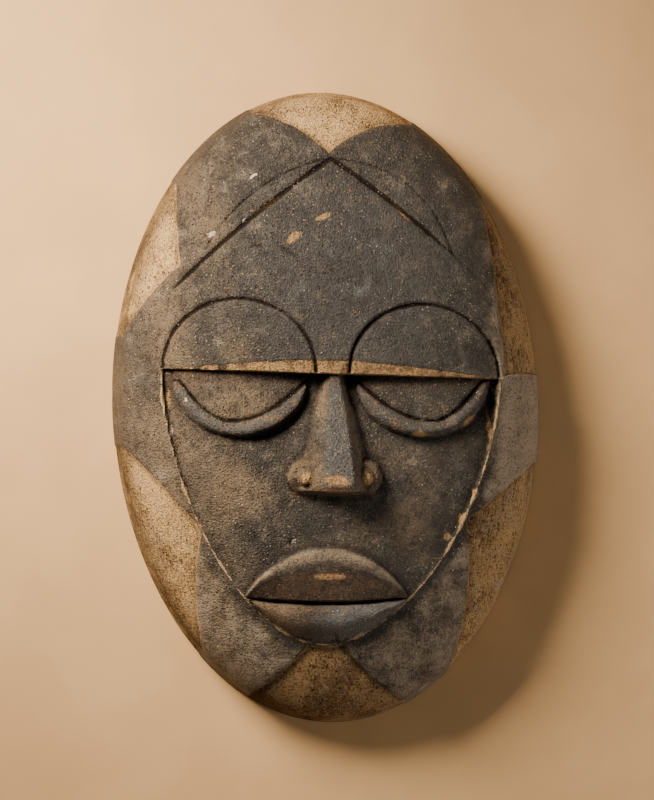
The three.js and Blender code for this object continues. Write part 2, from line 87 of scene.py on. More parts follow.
def soft_max(a: Grid, b: Grid, blend: float) -> Grid:
    """The higher of two heights, rounded where they cross, over a difference of blend."""
    h = np.clip(0.5 + 0.5 * (a - b) / blend, 0.0, 1.0)
    return b + (a - b) * h + blend * h * (1.0 - h)


def bowed_line(start: Pair, end: Pair, bow: float, steps: int = 24) -> Grid:
    """Plan line between two points, bowed to its left by a share of its length.

    Args:
        start: First point.
        end: Last point.
        bow: Height of the bow over the chord, as a share of the chord.
        steps: Number of straight pieces.

    Returns:
        Points as rows of x and y.
    """
    along = np.linspace(0.0, 1.0, steps + 1)[:, None]
    a, b = np.array(start, float), np.array(end, float)
    side = np.array([-(b - a)[1], (b - a)[0]])
    return a + (b - a) * along + side * (4.0 * bow * along * (1.0 - along))


def line_distance(x: Grid, y: Grid, line: Grid) -> Grid:
    """Distance in plan from each point to the nearest piece of a line.

    Args:
        x, y: Plan places across and up.
        line: Points of the line, as rows.

    Returns:
        The distances, in the shape of x.
    """
    best = np.full(x.shape, np.inf)
    for (ax, ay), (bx, by) in zip(line[:-1], line[1:]):
        dx, dy = bx - ax, by - ay
        along = np.clip(((x - ax) * dx + (y - ay) * dy) / max(dx * dx + dy * dy, 1e-9), 0.0, 1.0)
        best = np.minimum(best, np.hypot(x - ax - along * dx, y - ay - along * dy))
    return best


def inside_line(x: Grid, y: Grid, line: Grid) -> Grid:
    """Whether each plan point lies inside a closed line, by counting crossings.

    Args:
        x, y: Plan places across and up.
        line: Points of the closed line, as rows.

    Returns:
        True where the point is inside.
    """
    inside = np.zeros(x.shape, bool)
    for (ax, ay), (bx, by) in zip(line, np.roll(line, -1, axis=0)):
        if ay != by:
            crossing = (ay > y) != (by > y)
            inside ^= crossing & (x < ax + (y - ay) * (bx - ax) / (by - ay))
    return inside


def waves(x: Grid, y: Grid, length: float, seed: int, stretch: float = 1.0) -> Grid:
    """Smooth random relief: the sum of 28 plane waves of about one length.

    Args:
        x: Places across.
        y: Places up.
        length: Typical wave length.
        seed: Seed of the directions and phases.
        stretch: How much longer the waves are along y.

    Returns:
        Values mostly from -1 to 1.
    """
    rng = np.random.default_rng(seed)
    turns = rng.uniform(0.0, math.tau, 28)
    rates = math.tau / (length * rng.uniform(0.7, 1.5, 28))
    phases = rng.uniform(0.0, math.tau, 28)
    total = np.zeros(np.shape(x))
    for turn, rate, phase in zip(turns, rates, phases):
        total += np.cos(rate * (x * math.cos(turn) + y * math.sin(turn) / stretch) + phase)
    return total / math.sqrt(28.0)


def soft_spot(x: Grid, y: Grid, centre: Pair, reach: Pair) -> Grid:
    """A spot that fades from 1 at its centre, as exp(-(dx / reach)^2 - (dy / reach)^2)."""
    return np.exp(-(((x - centre[0]) / reach[0]) ** 2) - ((y - centre[1]) / reach[1]) ** 2)


def spread_angles(angle: Grid, density: Grid, count: int) -> Grid:
    """Angles that lie closer together where the density is higher, from end to end."""
    total = np.concatenate([[0.0], np.cumsum((density[1:] + density[:-1]) / 2.0)])
    return np.interp(np.linspace(0.0, total[-1], count), total, angle)


@dataclass(frozen=True)
class Outline:
    """Egg-shaped plan of the mask at its back rim."""

    width: float = WIDTH
    height: float = HEIGHT
    petal_proud: float = 0.6
    skew: float = 0.015
    taper: float = 0.01

    def skew_at(self, turn: Grid) -> Grid:
        """Share by which the outline stands in or out at a turn angle."""
        return 1.0 - self.skew * np.sin(2.0 * turn)

    def half_width(self, inset: float) -> float:
        """Half the width of the pale level, moved in by inset."""
        return self.width / 2.0 - self.petal_proud - inset

    def plan(self, across: Grid, up: Grid, inset: float) -> tuple[Grid, Grid]:
        """Plan places from shares of the half sizes.

        Args:
            across: Share of the half width, -1 to 1.
            up: Share of the half height, -1 to 1.
            inset: How far the outline is moved in.

        Returns:
            Places x and y in millimetres.
        """
        k = self.skew_at(np.arctan2(up, across))
        x = k * across * self.half_width(inset) * (1.0 + self.taper * k * up)
        return x, k * up * (self.height / 2.0 - inset)

    def share_at(self, x: Grid, y: Grid, inset: float) -> Grid:
        """Share of the way out at which plan places lie.

        Args:
            x, y: Plan places across and up.
            inset: How far the outline is moved in.

        Returns:
            0 in the middle and 1 on the outline moved in.
        """
        up = y / (self.height / 2.0 - inset)
        across = x / (self.half_width(inset) * (1.0 + self.taper * up))
        return np.hypot(across, up) / self.skew_at(np.arctan2(up, across))


@dataclass(frozen=True)
class Dome:
    """Upright side with a flattened dome over it."""

    outline: Outline = field(default_factory=Outline)
    side_height: float = 22.0
    rise: float = 50.0
    fullness: float = 2.3
    rounding: float = 0.6
    batter: float = 3.5

    def profile(self, share: Grid) -> Grid:
        """Share of the rise that is left at a share of the way out."""
        return np.maximum(0.0, 1.0 - np.clip(share, 0.0, None) ** self.fullness) ** self.rounding

    def height(self, x: Grid, y: Grid) -> Grid:
        """Height of the petals and the forehead over plan places."""
        inset = self.batter - self.outline.petal_proud
        return self.side_height + self.rise * self.profile(self.outline.share_at(x, y, inset))


@dataclass(frozen=True)
class PaleField:
    """One sunk field of pale clay between two petals."""

    tip: Pair
    ends: Pair
    bows: Pair
    reach: float = 1.3

    def line(self, outline: Outline) -> Grid:
        """Closed plan line of the field: two bowed edges, closed past the outline.

        Args:
            outline: The plan that the edges end on.

        Returns:
            Points as rows of x and y.
        """
        tip = (self.tip[0] * outline.width / 2.0, self.tip[1] * outline.height / 2.0)
        low, high = np.radians(self.ends)
        start = outline.plan(np.cos(low), np.sin(low), 0.0)
        end = outline.plan(np.cos(high), np.sin(high), 0.0)
        turns = np.linspace(low, high, 9)
        past = np.stack(outline.plan(self.reach * np.cos(turns), self.reach * np.sin(turns), 0.0), axis=1)
        first = bowed_line(tip, (float(start[0]), float(start[1])), self.bows[0])
        last = bowed_line((float(end[0]), float(end[1])), tip, self.bows[1])
        return np.concatenate([first, past, last[:-1]])

    def depth_in(self, x: Grid, y: Grid, outline: Outline) -> Grid:
        """Distance to the field's edge, positive inside it.

        Args:
            x, y: Plan places across and up.
            outline: The plan that the edges end on.

        Returns:
            Signed distances in millimetres.
        """
        line = self.line(outline)
        away = line_distance(x, y, np.concatenate([line, line[:1]]))
        return np.where(inside_line(x, y, line), away, -away)


@dataclass(frozen=True)
class Fields:
    """The six pale fields and how far the petals stand over them."""

    drop: float = 2.0
    edge: float = 0.8
    fields: tuple[PaleField, ...] = (
        PaleField((-0.01, 0.79), (64.0, 112.5), (0.12, 0.08)),
        PaleField((-0.69, 0.44), (133.5, 170.0), (0.02, 0.07)),
        PaleField((-0.59, -0.38), (186.0, 234.5), (-0.02, 0.06)),
        PaleField((-0.015, -0.655), (247.0, 292.5), (0.05, 0.08)),
        PaleField((0.615, -0.352), (303.5, 351.0), (0.06, 0.0)),
        PaleField((0.8, 0.1), (366.0, 404.5), (0.03, 0.01)),
    )

    def depth_in(self, x: Grid, y: Grid, outline: Outline) -> Grid:
        """Distance into the nearest pale field, negative on the petals."""
        return np.max([one.depth_in(x, y, outline) for one in self.fields], axis=0)


@dataclass(frozen=True)
class Brow:
    """Straight shelf over the eyes, with a bevelled lower edge."""

    y: float = 0.053 * HEIGHT
    slope: float = -0.03
    band: float = 0.022 * HEIGHT
    bevel: float = 3.6
    half: float = 0.388 * WIDTH
    wall: float = 0.9

    def line(self, x: Grid) -> Grid:
        """Height on the face of the brow's lower edge."""
        return self.y + self.slope * x

    def band_at(self, x: Grid) -> Grid:
        """Width of the bevelled band."""
        return self.band * np.maximum(0.0, 1.0 - (x / self.half) ** 2) ** 1.3

    def inward(self, x: Grid) -> Grid:
        """How near the middle of the brow a place is: 1 there and 0 at its ends."""
        return np.maximum(0.0, 1.0 - (x / self.half) ** 2) ** 0.8


@dataclass(frozen=True)
class FacePlane:
    """Long face sunk under the brow, inside a crisp ridge that runs down to the chin."""

    brow: Brow = field(default_factory=Brow)
    top: float = 0.045 * HEIGHT
    chin: float = -0.3685 * HEIGHT
    chin_x: float = -0.014 * WIDTH
    curve: float = 1.8
    fall: float = 0.61
    step: float = 2.2
    socket: float = 12.0
    fade: float = 0.1 * HEIGHT
    ridge: float = 0.7

    def edge_y(self, x: Grid) -> Grid:
        """Lower outline of the face, as a level over places across it.

        Args:
            x: Plan places across.

        Returns:
            Levels in millimetres.
        """
        inside = (1.0 - np.clip(np.abs(x) / self.brow.half, 0.0, 1.0) ** 2) ** 2
        out = np.clip(np.abs(x - self.chin_x * inside) / self.brow.half, 0.0, 1.0)
        return self.top + (self.chin - self.top) * (1.0 - out**self.curve) ** self.fall

    def depth_in(self, x: Grid, y: Grid) -> Grid:
        """Distance inside the face's lower outline, negative outside it.

        Args:
            x, y: Plan places across and up.

        Returns:
            Signed distances in millimetres, cut off at the brow's ends.
        """
        across = self.brow.half * np.sin(np.linspace(-np.pi / 2.0, np.pi / 2.0, 97))
        edge = np.stack([across, self.edge_y(across)], axis=1)
        high = 2.0 * self.brow.y
        line = np.concatenate([[[-self.brow.half, high]], edge, [[self.brow.half, high]]])
        away = line_distance(x, y, line)
        return np.where((y > self.edge_y(x)) & (np.abs(x) < self.brow.half), away, -away)

    def drop(self, x: Grid, y: Grid) -> Grid:
        """How far the face lies under the dome, most of all in the eye sockets."""
        below = np.maximum(0.0, self.brow.line(x) - y) / self.fade
        return self.step + self.socket * self.brow.inward(x) * np.exp(-below * below)


@dataclass(frozen=True)
class Eye:
    """Half-closed eye: a flat lens under the brow with a rolled rim round its lower edge."""

    side: int
    x: float = 0.208 * WIDTH
    top: float = 0.042 * HEIGHT
    half: float = 0.153 * WIDTH
    drop: float = 0.088 * HEIGHT
    lid: float = 0.71
    outward: float = 0.0215 * WIDTH
    end: float = 0.014 * WIDTH
    curve: float = 1.1
    lid_height: float = 5.0
    groove: float = 1.2
    bulge: float = 7.5
    dip: float = 2.6
    roll: float = 8.5
    full: float = 0.03 * HEIGHT

    def rim_y(self, x: Grid) -> Grid:
        """Lower edge of the rolled rim, a half ellipse."""
        out = (x - self.side * self.x) / self.half
        return self.top - self.drop * np.sqrt(np.maximum(0.0, 1.0 - out**2))

    def lid_y(self, x: Grid) -> Grid:
        """Line between eyeball and rim, a parabola that hangs lowest outwards of the middle.

        Args:
            x: Places across.

        Returns:
            Levels in millimetres, never under the rim's edge.
        """
        out = self.side * x - self.x - self.outward
        reach = np.where(out > 0.0, self.half - self.outward - self.end, self.half + self.outward)
        down = np.maximum(0.0, 1.0 - (out / reach) ** 2) ** self.curve
        return np.maximum(self.top - self.drop * self.lid * down, self.rim_y(x))

    def lid_line(self) -> Grid:
        """Plan points along the line between eyeball and rim, as rows of x and y."""
        x = self.side * (self.x - self.half * np.cos(np.linspace(0.0, np.pi, 49)))
        return np.stack([x, self.lid_y(x)], axis=1)

    def on_roll(self, x: Grid, y: Grid) -> Grid:
        """How near the top of the rolled rim a place lies.

        Args:
            x, y: Plan places across and up.

        Returns:
            1 along the top, 0 at its edges and beside it.
        """
        lid, rim = self.lid_y(x), self.rim_y(x)
        along = np.clip((lid - y) / np.maximum(lid - rim, 0.5), 0.0, 1.0)
        return 4.0 * along * (1.0 - along)

    def rise(self, x: Grid, y: Grid) -> Grid:
        """Height over the face plane: a lens, then a step down, then a half-round roll.

        Args:
            x, y: Plan places across and up.

        Returns:
            Heights in millimetres, negative beside the eye.
        """
        lid, rim = self.lid_y(x), self.rim_y(x)
        out = (x - self.side * self.x) / self.half
        taper = np.maximum(0.0, 1.0 - out**2) ** 0.25
        down = np.clip((self.top - y) / np.maximum(self.top - lid, 1e-3), 0.0, 1.0)
        depth = np.clip((self.top - lid) / (self.drop * self.lid), 0.0, 1.0)
        lens = self.groove + (self.bulge - self.lid_height) * (1.0 - down**2) - self.dip * (1.0 - down) ** 2
        lens = self.lid_height - self.groove + lens * np.sqrt(depth)
        along = np.clip((lid - y) / np.maximum(lid - rim, 1e-3), 0.0, 1.0)
        foot = (self.lid_height - self.groove) * (1.0 - along)
        full = np.maximum(foot, self.roll * np.sqrt(np.clip((lid - rim) / self.full, 0.0, 1.0)))
        roll = foot + (full - foot) * np.sqrt(1.0 - (2.0 * along - 1.0) ** 2)
        known = (np.abs(out) < 1.0) & (y > rim)
        return np.where(known, np.where(y > lid, lens, roll) * taper, BURIED)


EYES = (Eye(-1), Eye(1))


@dataclass(frozen=True)
class Nose:
    """Wedge from under the brow to a flat-cut base, with a low wing at each side."""

    base: float = -0.128 * HEIGHT
    top: float = 0.053 * HEIGHT + 2.0
    rise: float = 21.0
    root_rise: float = 7.0
    x: float = 0.004 * WIDTH
    lean: float = 0.014 * WIDTH
    root_half: float = 0.015 * WIDTH
    tip_half: float = 0.083 * WIDTH
    flare: float = 0.7
    ridge: float = 0.34
    tip_round: float = 0.02 * HEIGHT
    wing_x: float = 0.067 * WIDTH
    wing_y: float = -0.107 * HEIGHT
    wing_half: float = 0.04 * WIDTH
    wing_length: float = 0.028 * HEIGHT
    wing_rise: float = 10.0
    ring: float = 2.2
    underside: float = 2.6

    def flank(self, x: Grid, y: Grid) -> Grid:
        """How far up its side a place of the wedge lies.

        Args:
            x, y: Plan places across and up.

        Returns:
            0 at the foot of a side, 1 at the ridge and more on it.
        """
        along = np.clip((self.top - y) / (self.top - self.base), 0.0, 1.0)
        half = self.root_half + (self.tip_half - self.root_half) * along**self.flare
        flank, shift = half * (1.0 - self.ridge), self.lean * along
        return np.minimum((x - self.x + half) / (flank + shift), (self.x + half - x) / (flank - shift))

    def wedge(self, x: Grid, y: Grid) -> Grid:
        """Height of the wedge over the face plane: a rounded, leaning trapezium, rising to the tip.

        Args:
            x, y: Plan places across and up.

        Returns:
            Heights in millimetres, negative beside the nose.
        """
        along = np.clip((self.top - y) / (self.top - self.base), 0.0, 1.0)
        side = np.clip(self.flank(x, y), -1.0, 1.0)
        bent = np.sin(np.pi / 2.0 * np.maximum(side, 0.0)) * 0.45 + side * 0.55
        round_side = np.where(side > 0.0, bent, side)
        to_tip = np.clip(1.0 - (y - self.base) / self.tip_round, 0.0, 1.0)
        return (self.root_rise + (self.rise - self.root_rise) * along) * round_side * (1.0 - 0.22 * to_tip**2)

    def wings(self, x: Grid, y: Grid) -> tuple[Grid, Grid]:
        """Height of the two wings over the face plane, each a half ellipsoid.

        Args:
            x, y: Plan places across and up.

        Returns:
            Heights in millimetres, negative beside them, and how far out in them a place lies.
        """
        across = (np.abs(x - self.x) - self.wing_x) / self.wing_half
        out = np.hypot(across, (y - self.wing_y) / self.wing_length)
        return np.where(out < 1.0, self.wing_rise * np.sqrt(np.maximum(0.0, 1.0 - out**2)), BURIED), out


@dataclass(frozen=True)
class Mouth:
    """Full lips: an upper lip with a rolled edge, a slit, and a lower lip down to the ridge."""

    x: float = -0.012 * WIDTH
    half: float = 0.185 * WIDTH
    y: float = -0.2956 * HEIGHT
    bow: float = 0.75
    upper: float = 0.0812 * HEIGHT
    lower: float = 0.066 * HEIGHT
    slit: float = 1.5
    slit_depth: float = 2.6
    sag: float = 2.7
    height: float = 8.0
    roll: float = 0.36

    def place(self, x: Grid, y: Grid, face: FacePlane) -> tuple[Grid, Grid, Grid]:
        """Where a plan place lies on the lips.

        Args:
            x, y: Plan places across and up.
            face: The face, whose ridge the lower lip stops at.

        Returns:
            Share down the upper lip and share down the lower lip, each from 0 to 1 on it,
            and the share of the full opening of the lips at that place.
        """
        across = np.clip((x - self.x) / self.half, -1.0, 1.0)
        bow = np.maximum(0.0, 1.0 - across**2) ** self.bow
        slit = self.slit_y(x)
        low = np.maximum(self.lower * bow + slit - self.y, 1e-3)
        low = np.minimum(low, np.maximum(slit - face.edge_y(x) - 0.6, 1e-3))
        high = np.maximum(self.y + self.upper * bow - slit, 1e-3)
        return 1.0 - (y - slit) / high, (slit - y) / low, bow

    def slit_y(self, x: Grid) -> Grid:
        """Level of the slit, which hangs a little in the middle."""
        return self.y - self.sag * np.maximum(0.0, 1.0 - ((x - self.x) / self.half) ** 2)

    def rise(self, x: Grid, y: Grid, face: FacePlane) -> Grid:
        """Height over the face plane: roll, inner slope, slit and lower lip in turn.

        Args:
            x, y: Plan places across and up.
            face: The face, whose ridge the lower lip stops at.

        Returns:
            Heights in millimetres, negative beside the lips.
        """
        up, down, bow = self.place(x, y, face)
        roll = 0.74 + 0.26 * np.sin(np.pi * np.clip(up / self.roll, 0.0, 1.0))
        start = smooth_step(up, -0.02, 0.07)
        inner = 0.76 - 0.6 * np.clip((up - self.roll) / (1.0 - self.roll), 0.0, 1.0)
        upper = np.where(up < self.roll, roll * start - 0.3 * (1.0 - start), inner)
        lower = 0.1 + 0.75 * np.sin(np.pi * np.clip(0.08 + 0.92 * down, 0.0, 1.0))
        shape = np.where(y > self.slit_y(x), upper, np.where(down < 1.0, lower, -1.0))
        gap = self.slit * np.sqrt(np.clip(bow, 0.0, 1.0))
        cut = smooth_step(gap - np.abs(y - self.slit_y(x)), 0.0, 1.2)
        known = (np.abs(x - self.x) < self.half) & (up > -0.02) & (down < 1.0)
        risen = self.height * shape * np.clip(bow, 0.0, 1.0) ** 0.35
        return np.where(known, risen - cut * (risen + self.slit_depth), BURIED)


class Groove(Enum):
    """Grooves of the forehead: half width, depth and softness in millimetres."""

    EDGE = (2.0, 1.8)
    LENS = (0.9, 0.9)
    ARCH = (1.7, 1.9)


@dataclass(frozen=True)
class Forehead:
    """Grooves over the brow: the forehead's edges, thin lenses over them, and two arches."""

    apex: float = 0.387 * HEIGHT
    temple: Pair = (0.364 * WIDTH, 0.182 * HEIGHT)
    bow: float = 0.022
    lens_ends: Pair = (0.85, 0.75)
    lens_bows: Pair = (0.12, 0.17)
    fades: Pair = (68.0, 46.0)
    arch_x: float = 0.211 * WIDTH
    arch_half: float = 0.173 * WIDTH
    arch_rise: float = 0.108 * HEIGHT

    def edge_line(self, side: int) -> Grid:
        """Edge of the forehead from the apex to one temple."""
        return bowed_line((0.0, self.apex), (side * self.temple[0], self.temple[1]), side * self.bow)

    def lens_line(self, side: int) -> Grid:
        """Thin line that bows away over the forehead's edge and meets it again.

        Args:
            side: -1 for the left one and 1 for the right one.

        Returns:
            Points as rows of x and y.
        """
        number = (side + 1) // 2
        end = self.edge_line(side)[round(24 * self.lens_ends[number])]
        start = (side * 3.0, self.apex)
        return bowed_line(start, (float(end[0]), float(end[1])), side * self.lens_bows[number])

    def arch_line(self, side: int, brow: Brow) -> Grid:
        """Arch over one half of the brow, a half ellipse that stands on its edge.

        Args:
            side: -1 for the left one and 1 for the right one.
            brow: The brow that it stands on.

        Returns:
            Points as rows of x and y.
        """
        turns = np.linspace(0.0, np.pi, 33)
        x = side * self.arch_x + self.arch_half * np.cos(turns)
        return np.stack([x, brow.line(x) + 1.0 + self.arch_rise * np.sin(turns)], axis=1)

    def cut(self, x: Grid, y: Grid, brow: Brow) -> tuple[Grid, Grid]:
        """Depth of all grooves, and how far from a groove a place is.

        Args:
            x, y: Plan places across and up.
            brow: The brow that the arches stand on.

        Returns:
            Depths, and distances from the middle of the nearest groove, in millimetres.
        """
        depth, near = np.zeros(x.shape), np.full(x.shape, FAR)
        for side in (-1, 1):
            lines = {
                Groove.EDGE: self.edge_line(side),
                Groove.LENS: self.lens_line(side),
                Groove.ARCH: self.arch_line(side, brow),
            }
            for kind, line in lines.items():
                half, deep = kind.value
                away = line_distance(x, y, line)
                if kind is Groove.EDGE:
                    start = self.fades[(side + 1) // 2]
                    away = away + 1.2 * smooth_step(side * x, start, start + 24.0)
                depth = np.maximum(depth, deep * np.maximum(0.0, 1.0 - away / half))
                near = np.minimum(near, away + 0.8 * (1.7 - half))
        return depth, near


@dataclass(frozen=True)
class Patch:
    """A worn or chipped place: where it is, its half sizes, its turn and how deep it is."""

    x: float
    y: float
    half: Pair
    turn: float = 0.0
    depth: float = 0.0

    def share(self, x: Grid, y: Grid) -> Grid:
        """How far in the patch a place lies.

        Args:
            x, y: Plan places across and up.

        Returns:
            1 in the middle, fading to 0 at the edge.
        """
        c, s = math.cos(math.radians(self.turn)), math.sin(math.radians(self.turn))
        u = ((x - self.x) * c + (y - self.y) * s) / self.half[0]
        v = (-(x - self.x) * s + (y - self.y) * c) / self.half[1]
        return np.clip(1.0 - np.hypot(u, v), 0.0, 1.0)


# Bare wood where the paint is worn through, from the photograph.
WORN = (
    Patch(-33.0, 107.5, (15.0, 2.6), 36.0),
    Patch(-20.4, 89.4, (10.0, 4.4), 38.0),
    Patch(-4.5, 100.5, (10.0, 3.0), 20.0),
    Patch(36.0, 104.0, (15.0, 2.0), -48.0),
    Patch(1.7, -38.5, (13.0, 6.5)),
    Patch(-14.0, -37.0, (6.0, 8.0)),
    Patch(18.0, -37.5, (6.0, 7.0)),
    Patch(2.0, -43.2, (22.0, 1.8)),
    Patch(-1.0, -88.5, (20.0, 3.6)),
    Patch(46.0, -14.0, (9.0, 3.4), -4.0),
    Patch(72.5, -7.0, (9.0, 3.4), 42.0),
    Patch(83.5, -10.0, (3.0, 18.0), 6.0),
    Patch(76.0, -45.0, (4.0, 4.5)),
    Patch(68.5, -57.5, (3.4, 6.0), -30.0),
    Patch(61.0, -68.0, (4.0, 5.0), -30.0),
    Patch(-77.5, -43.0, (2.6, 10.0), 20.0),
    Patch(-69.0, -62.0, (2.0, 5.0), 27.0),
    Patch(-86.0, 5.0, (3.0, 11.0)),
)

# Light chips.
CHIPS = (
    Patch(-46.3, 98.2, (1.6, 1.6), 0.0, 0.6),
    Patch(-63.0, 91.4, (4.2, 1.8), 30.0, 0.8),
    Patch(-40.8, 122.5, (4.0, 1.4), 30.0, 0.5),
    Patch(-84.6, -11.6, (1.6, 6.0), 8.0, 0.5),
    Patch(-20.5, -70.0, (1.8, 1.6), 0.0, 0.8),
    Patch(-77.0, 4.0, (1.6, 1.4), 0.0, 0.5),
)

# Cracks and dents, which are dark.
DENTS = (
    Patch(-39.5, 85.0, (4.0, 1.2), 0.0, 0.9),
    Patch(-23.5, 82.0, (6.5, 1.5), -37.0, 1.2),
    Patch(-22.0, -71.0, (2.0, 1.8), 0.0, 1.0),
    Patch(-20.0, -41.0, (3.2, 4.6), 35.0, 1.6),
    Patch(3.0, -122.0, (1.3, 6.0), 22.0, 0.5),
)


@dataclass(frozen=True)
class Looks:
    """What the finish needs to know at each point of the mask."""

    pale: Grid
    edge: Grid
    crease_shade: Grid
    wear: Grid
    chip: Grid
    grime_and_shade: Grid
    dust: Grid
    polish_and_sheen: Grid
    brown_and_shade: Grid
    ash: Grid


@dataclass(frozen=True)
class Weathering:
    """Strength of each cause of wear, dirt, dust, tint, painted shade and painted sheen, and the reach of the
    band's middle.
    """

    worn_patch: float = 0.7
    worn_edge: float = 0.34
    band_least: float = 0.6
    band_middle: float = 0.38
    band_mottle: float = 0.16
    band_reach: float = 40.0
    # Painted blue-grey sheen where the paint is polished; on the forehead it also paints shade by taking dust
    # away.
    sheen_roll: float = 0.25
    sheen_ridge: float = 0.8
    sheen_lids: float = 0.7
    sheen_and_shade_forehead: float = 0.9
    brown_lip: float = 0.3
    # Brown that is partly painted shade: under the brow, on the bottom field and on the right fields.
    brown_and_shade_socket: float = 0.6
    brown_and_shade_foot: float = 0.6
    brown_and_shade_right: float = 0.4
    ash_low: float = 0.42
    ash_right: float = 0.8
    ash_clay_low: float = 0.1
    ash_clay_right: float = 0.15
    # Ash on the upper lip's roll, partly a painted highlight.
    ash_and_highlight_roll: float = 0.5
    dust_cheeks: float = 0.5
    dust_eyeballs: float = 0.6
    dust_left: float = 0.65
    dust_low: float = 0.5
    dust_mottle: float = 0.25
    dust_lip: float = 0.7
    # More dust on the upper lip's roll is a painted highlight; less dust on the upper right of the face is
    # painted shade.
    dust_and_highlight_roll: float = 0.8
    painted_shade_right: float = 0.6
    dust_nose: float = 0.7
    # Darkening: dirt in dents, dirt with painted shade in hollows and under the brow, painted shade on the
    # outer sides and the forehead's middle.
    grime_and_shade_hollow: float = 0.6
    grime_dent: float = 1.6
    shade_sides: float = 0.15
    shade_left_clay: float = 0.85
    shade_left_paint: float = 0.3
    grime_and_shade_socket: float = 0.6
    shade_forehead: float = 0.8


@dataclass
class MaskShell:
    """The whole mask as one closed mesh on a grid of rows up it and columns round it."""

    dome: Dome = field(default_factory=Dome)
    fields: Fields = field(default_factory=Fields)
    face: FacePlane = field(default_factory=FacePlane)
    nose: Nose = field(default_factory=Nose)
    mouth: Mouth = field(default_factory=Mouth)
    forehead: Forehead = field(default_factory=Forehead)
    weather: Weathering = field(default_factory=Weathering)
    rim: float = 15.0
    crown_wall: float = 24.0
    rows: int = 352
    columns: int = 216
    hollow_columns: int = 26
    undulation: float = 0.35

    def relief(self, x: Grid, y: Grid) -> tuple[Grid, Looks]:
        """Height of the front over plan places, with what the finish needs there.

        The dome is lowered in the pale fields and cut by the grooves. Under the brow it
        sinks to the face plane. The eyes, nose and lips are heights over that plane, and
        the highest surface wins, rounded at the join.

        Args:
            x, y: Plan places across and up.

        Returns:
            Heights in millimetres, and the looks.
        """
        brow = self.face.brow
        dome = self.dome.height(x, y)
        inside = self.face.depth_in(x, y)
        pale = self.fields.depth_in(x, y, self.dome.outline)
        pale = np.where(y < brow.y, np.minimum(pale, -inside - 1.2), pale)
        lowered = smooth_step(pale, -self.fields.edge, self.fields.edge)
        cut, near = self.forehead.cut(x, y, brow)
        z = dome - self.fields.drop * lowered - cut

        under = brow.line(x) - y
        band = np.maximum(brow.band_at(x), 1e-3)
        in_band = np.clip(1.0 + under / band, 0.0, 1.0)
        z = z - brow.bevel * (band / brow.band) * in_band
        sunk = smooth_step(inside, 0.0, 1.6) * smooth_step(under, 0.0, brow.wall)
        plane = dome - self.face.drop(x, y)
        ridge = self.face.ridge * np.exp(-((inside / 1.6) ** 2)) * (y < self.face.top)
        z = z + (plane - z) * sunk + ridge

        held = np.maximum(y, self.nose.base)
        wings, wing_out = self.nose.wings(x, held)
        wings = wings - self.nose.ring * np.exp(-(((wing_out - 0.55) / 0.16) ** 2))
        forms = soft_max(self.nose.wedge(x, held), wings, 1.2)
        fall = 1.0 - (held - y) / self.nose.underside
        forms = np.where(fall > 0.0, (forms + 1.0) * fall - 1.0, BURIED)
        lid_line = np.full(x.shape, FAR)
        for eye in EYES:
            away = line_distance(x, y, eye.lid_line())
            rise = eye.rise(x, y) - 0.9 * np.exp(-((away / 0.9) ** 2))
            forms = soft_max(forms, rise, 0.6)
            lid_line = np.minimum(lid_line, away)
        forms = soft_max(forms, self.mouth.rise(x, y, self.face), 0.5)
        z = np.where(sunk > 0.5, soft_max(z, plane + forms, 0.7) - 0.17, z)
        slit = (np.abs(y - self.mouth.slit_y(x)) < 2.0) & (np.abs(x - self.mouth.x) < self.mouth.half * 0.95)
        z = np.where(slit, np.minimum(z, plane + self.mouth.rise(x, y, self.face)), z)

        z = z + self.undulation * (0.7 * waves(x, y, 30.0, 3) + 0.3 * waves(x, y, 9.0, 5, 1.6))
        for hollow in CHIPS + DENTS:
            z = z - hollow.depth * np.sqrt(hollow.share(x, y))
        slit_away = np.where(slit, np.abs(y - self.mouth.slit_y(x)), FAR)
        # Distance from the cut lines, which the finish paints dark as shade in the cuts.
        crease_shade = np.minimum(np.minimum(near, lid_line), slit_away)
        return z, self.looks(x, y, z, pale, inside, crease_shade)

    def wear(self, x: Grid, y: Grid, proud: Grid) -> Grid:
        """Share of paint worn off: at named patches, along the brow's band and on proud edges.

        Args:
            x, y: Plan places across and up.
            proud: How far each place stands over its neighbours.

        Returns:
            Shares, mostly from 0 to 1.
        """
        brow, how = self.face.brow, self.weather
        under, width = brow.line(x) - y, brow.band_at(x)
        band = np.clip(1.0 + under / np.maximum(width, 1e-3), 0.0, 1.0)
        band = smooth_step(band * (under < 0.6) * (width > 0.4), 0.02, 0.25)
        middle = how.band_middle * np.exp(-(((x - 4.0) / how.band_reach) ** 2))
        band = band * (how.band_least + middle + how.band_mottle * waves(x, y, 9.0, 21))
        patches = np.max([smooth_step(patch.share(x, y), 0.0, 0.8) for patch in WORN], axis=0)
        edges = how.worn_edge * np.clip(proud / 0.5, 0.0, 1.0)
        return np.maximum(np.maximum(how.worn_patch * patches, band), edges)

    def lips(self, x: Grid, y: Grid) -> tuple[Grid, Grid, Grid, Grid]:
        """Parts of the lips that differ in tint.

        Args:
            x, y: Plan places across and up.

        Returns:
            Shares of the upper roll, the inner slope, and the right and left of the lower lip.
        """
        mouth = self.mouth
        up, down, _ = mouth.place(x, y, self.face)
        on_mouth = (np.abs(x - mouth.x) < mouth.half) & (up > 0.0) & (down < 1.0)
        roll = smooth_step(up, 0.0, 0.06) * (1.0 - smooth_step(up, 0.3, 0.42))
        inner = smooth_step(up, 0.34, 0.44) * (y > mouth.slit_y(x))
        lower, right = on_mouth * (y < mouth.slit_y(x)), smooth_step(x, -18.0, 6.0)
        return on_mouth * roll, on_mouth * inner, lower * right, lower * (1.0 - right)

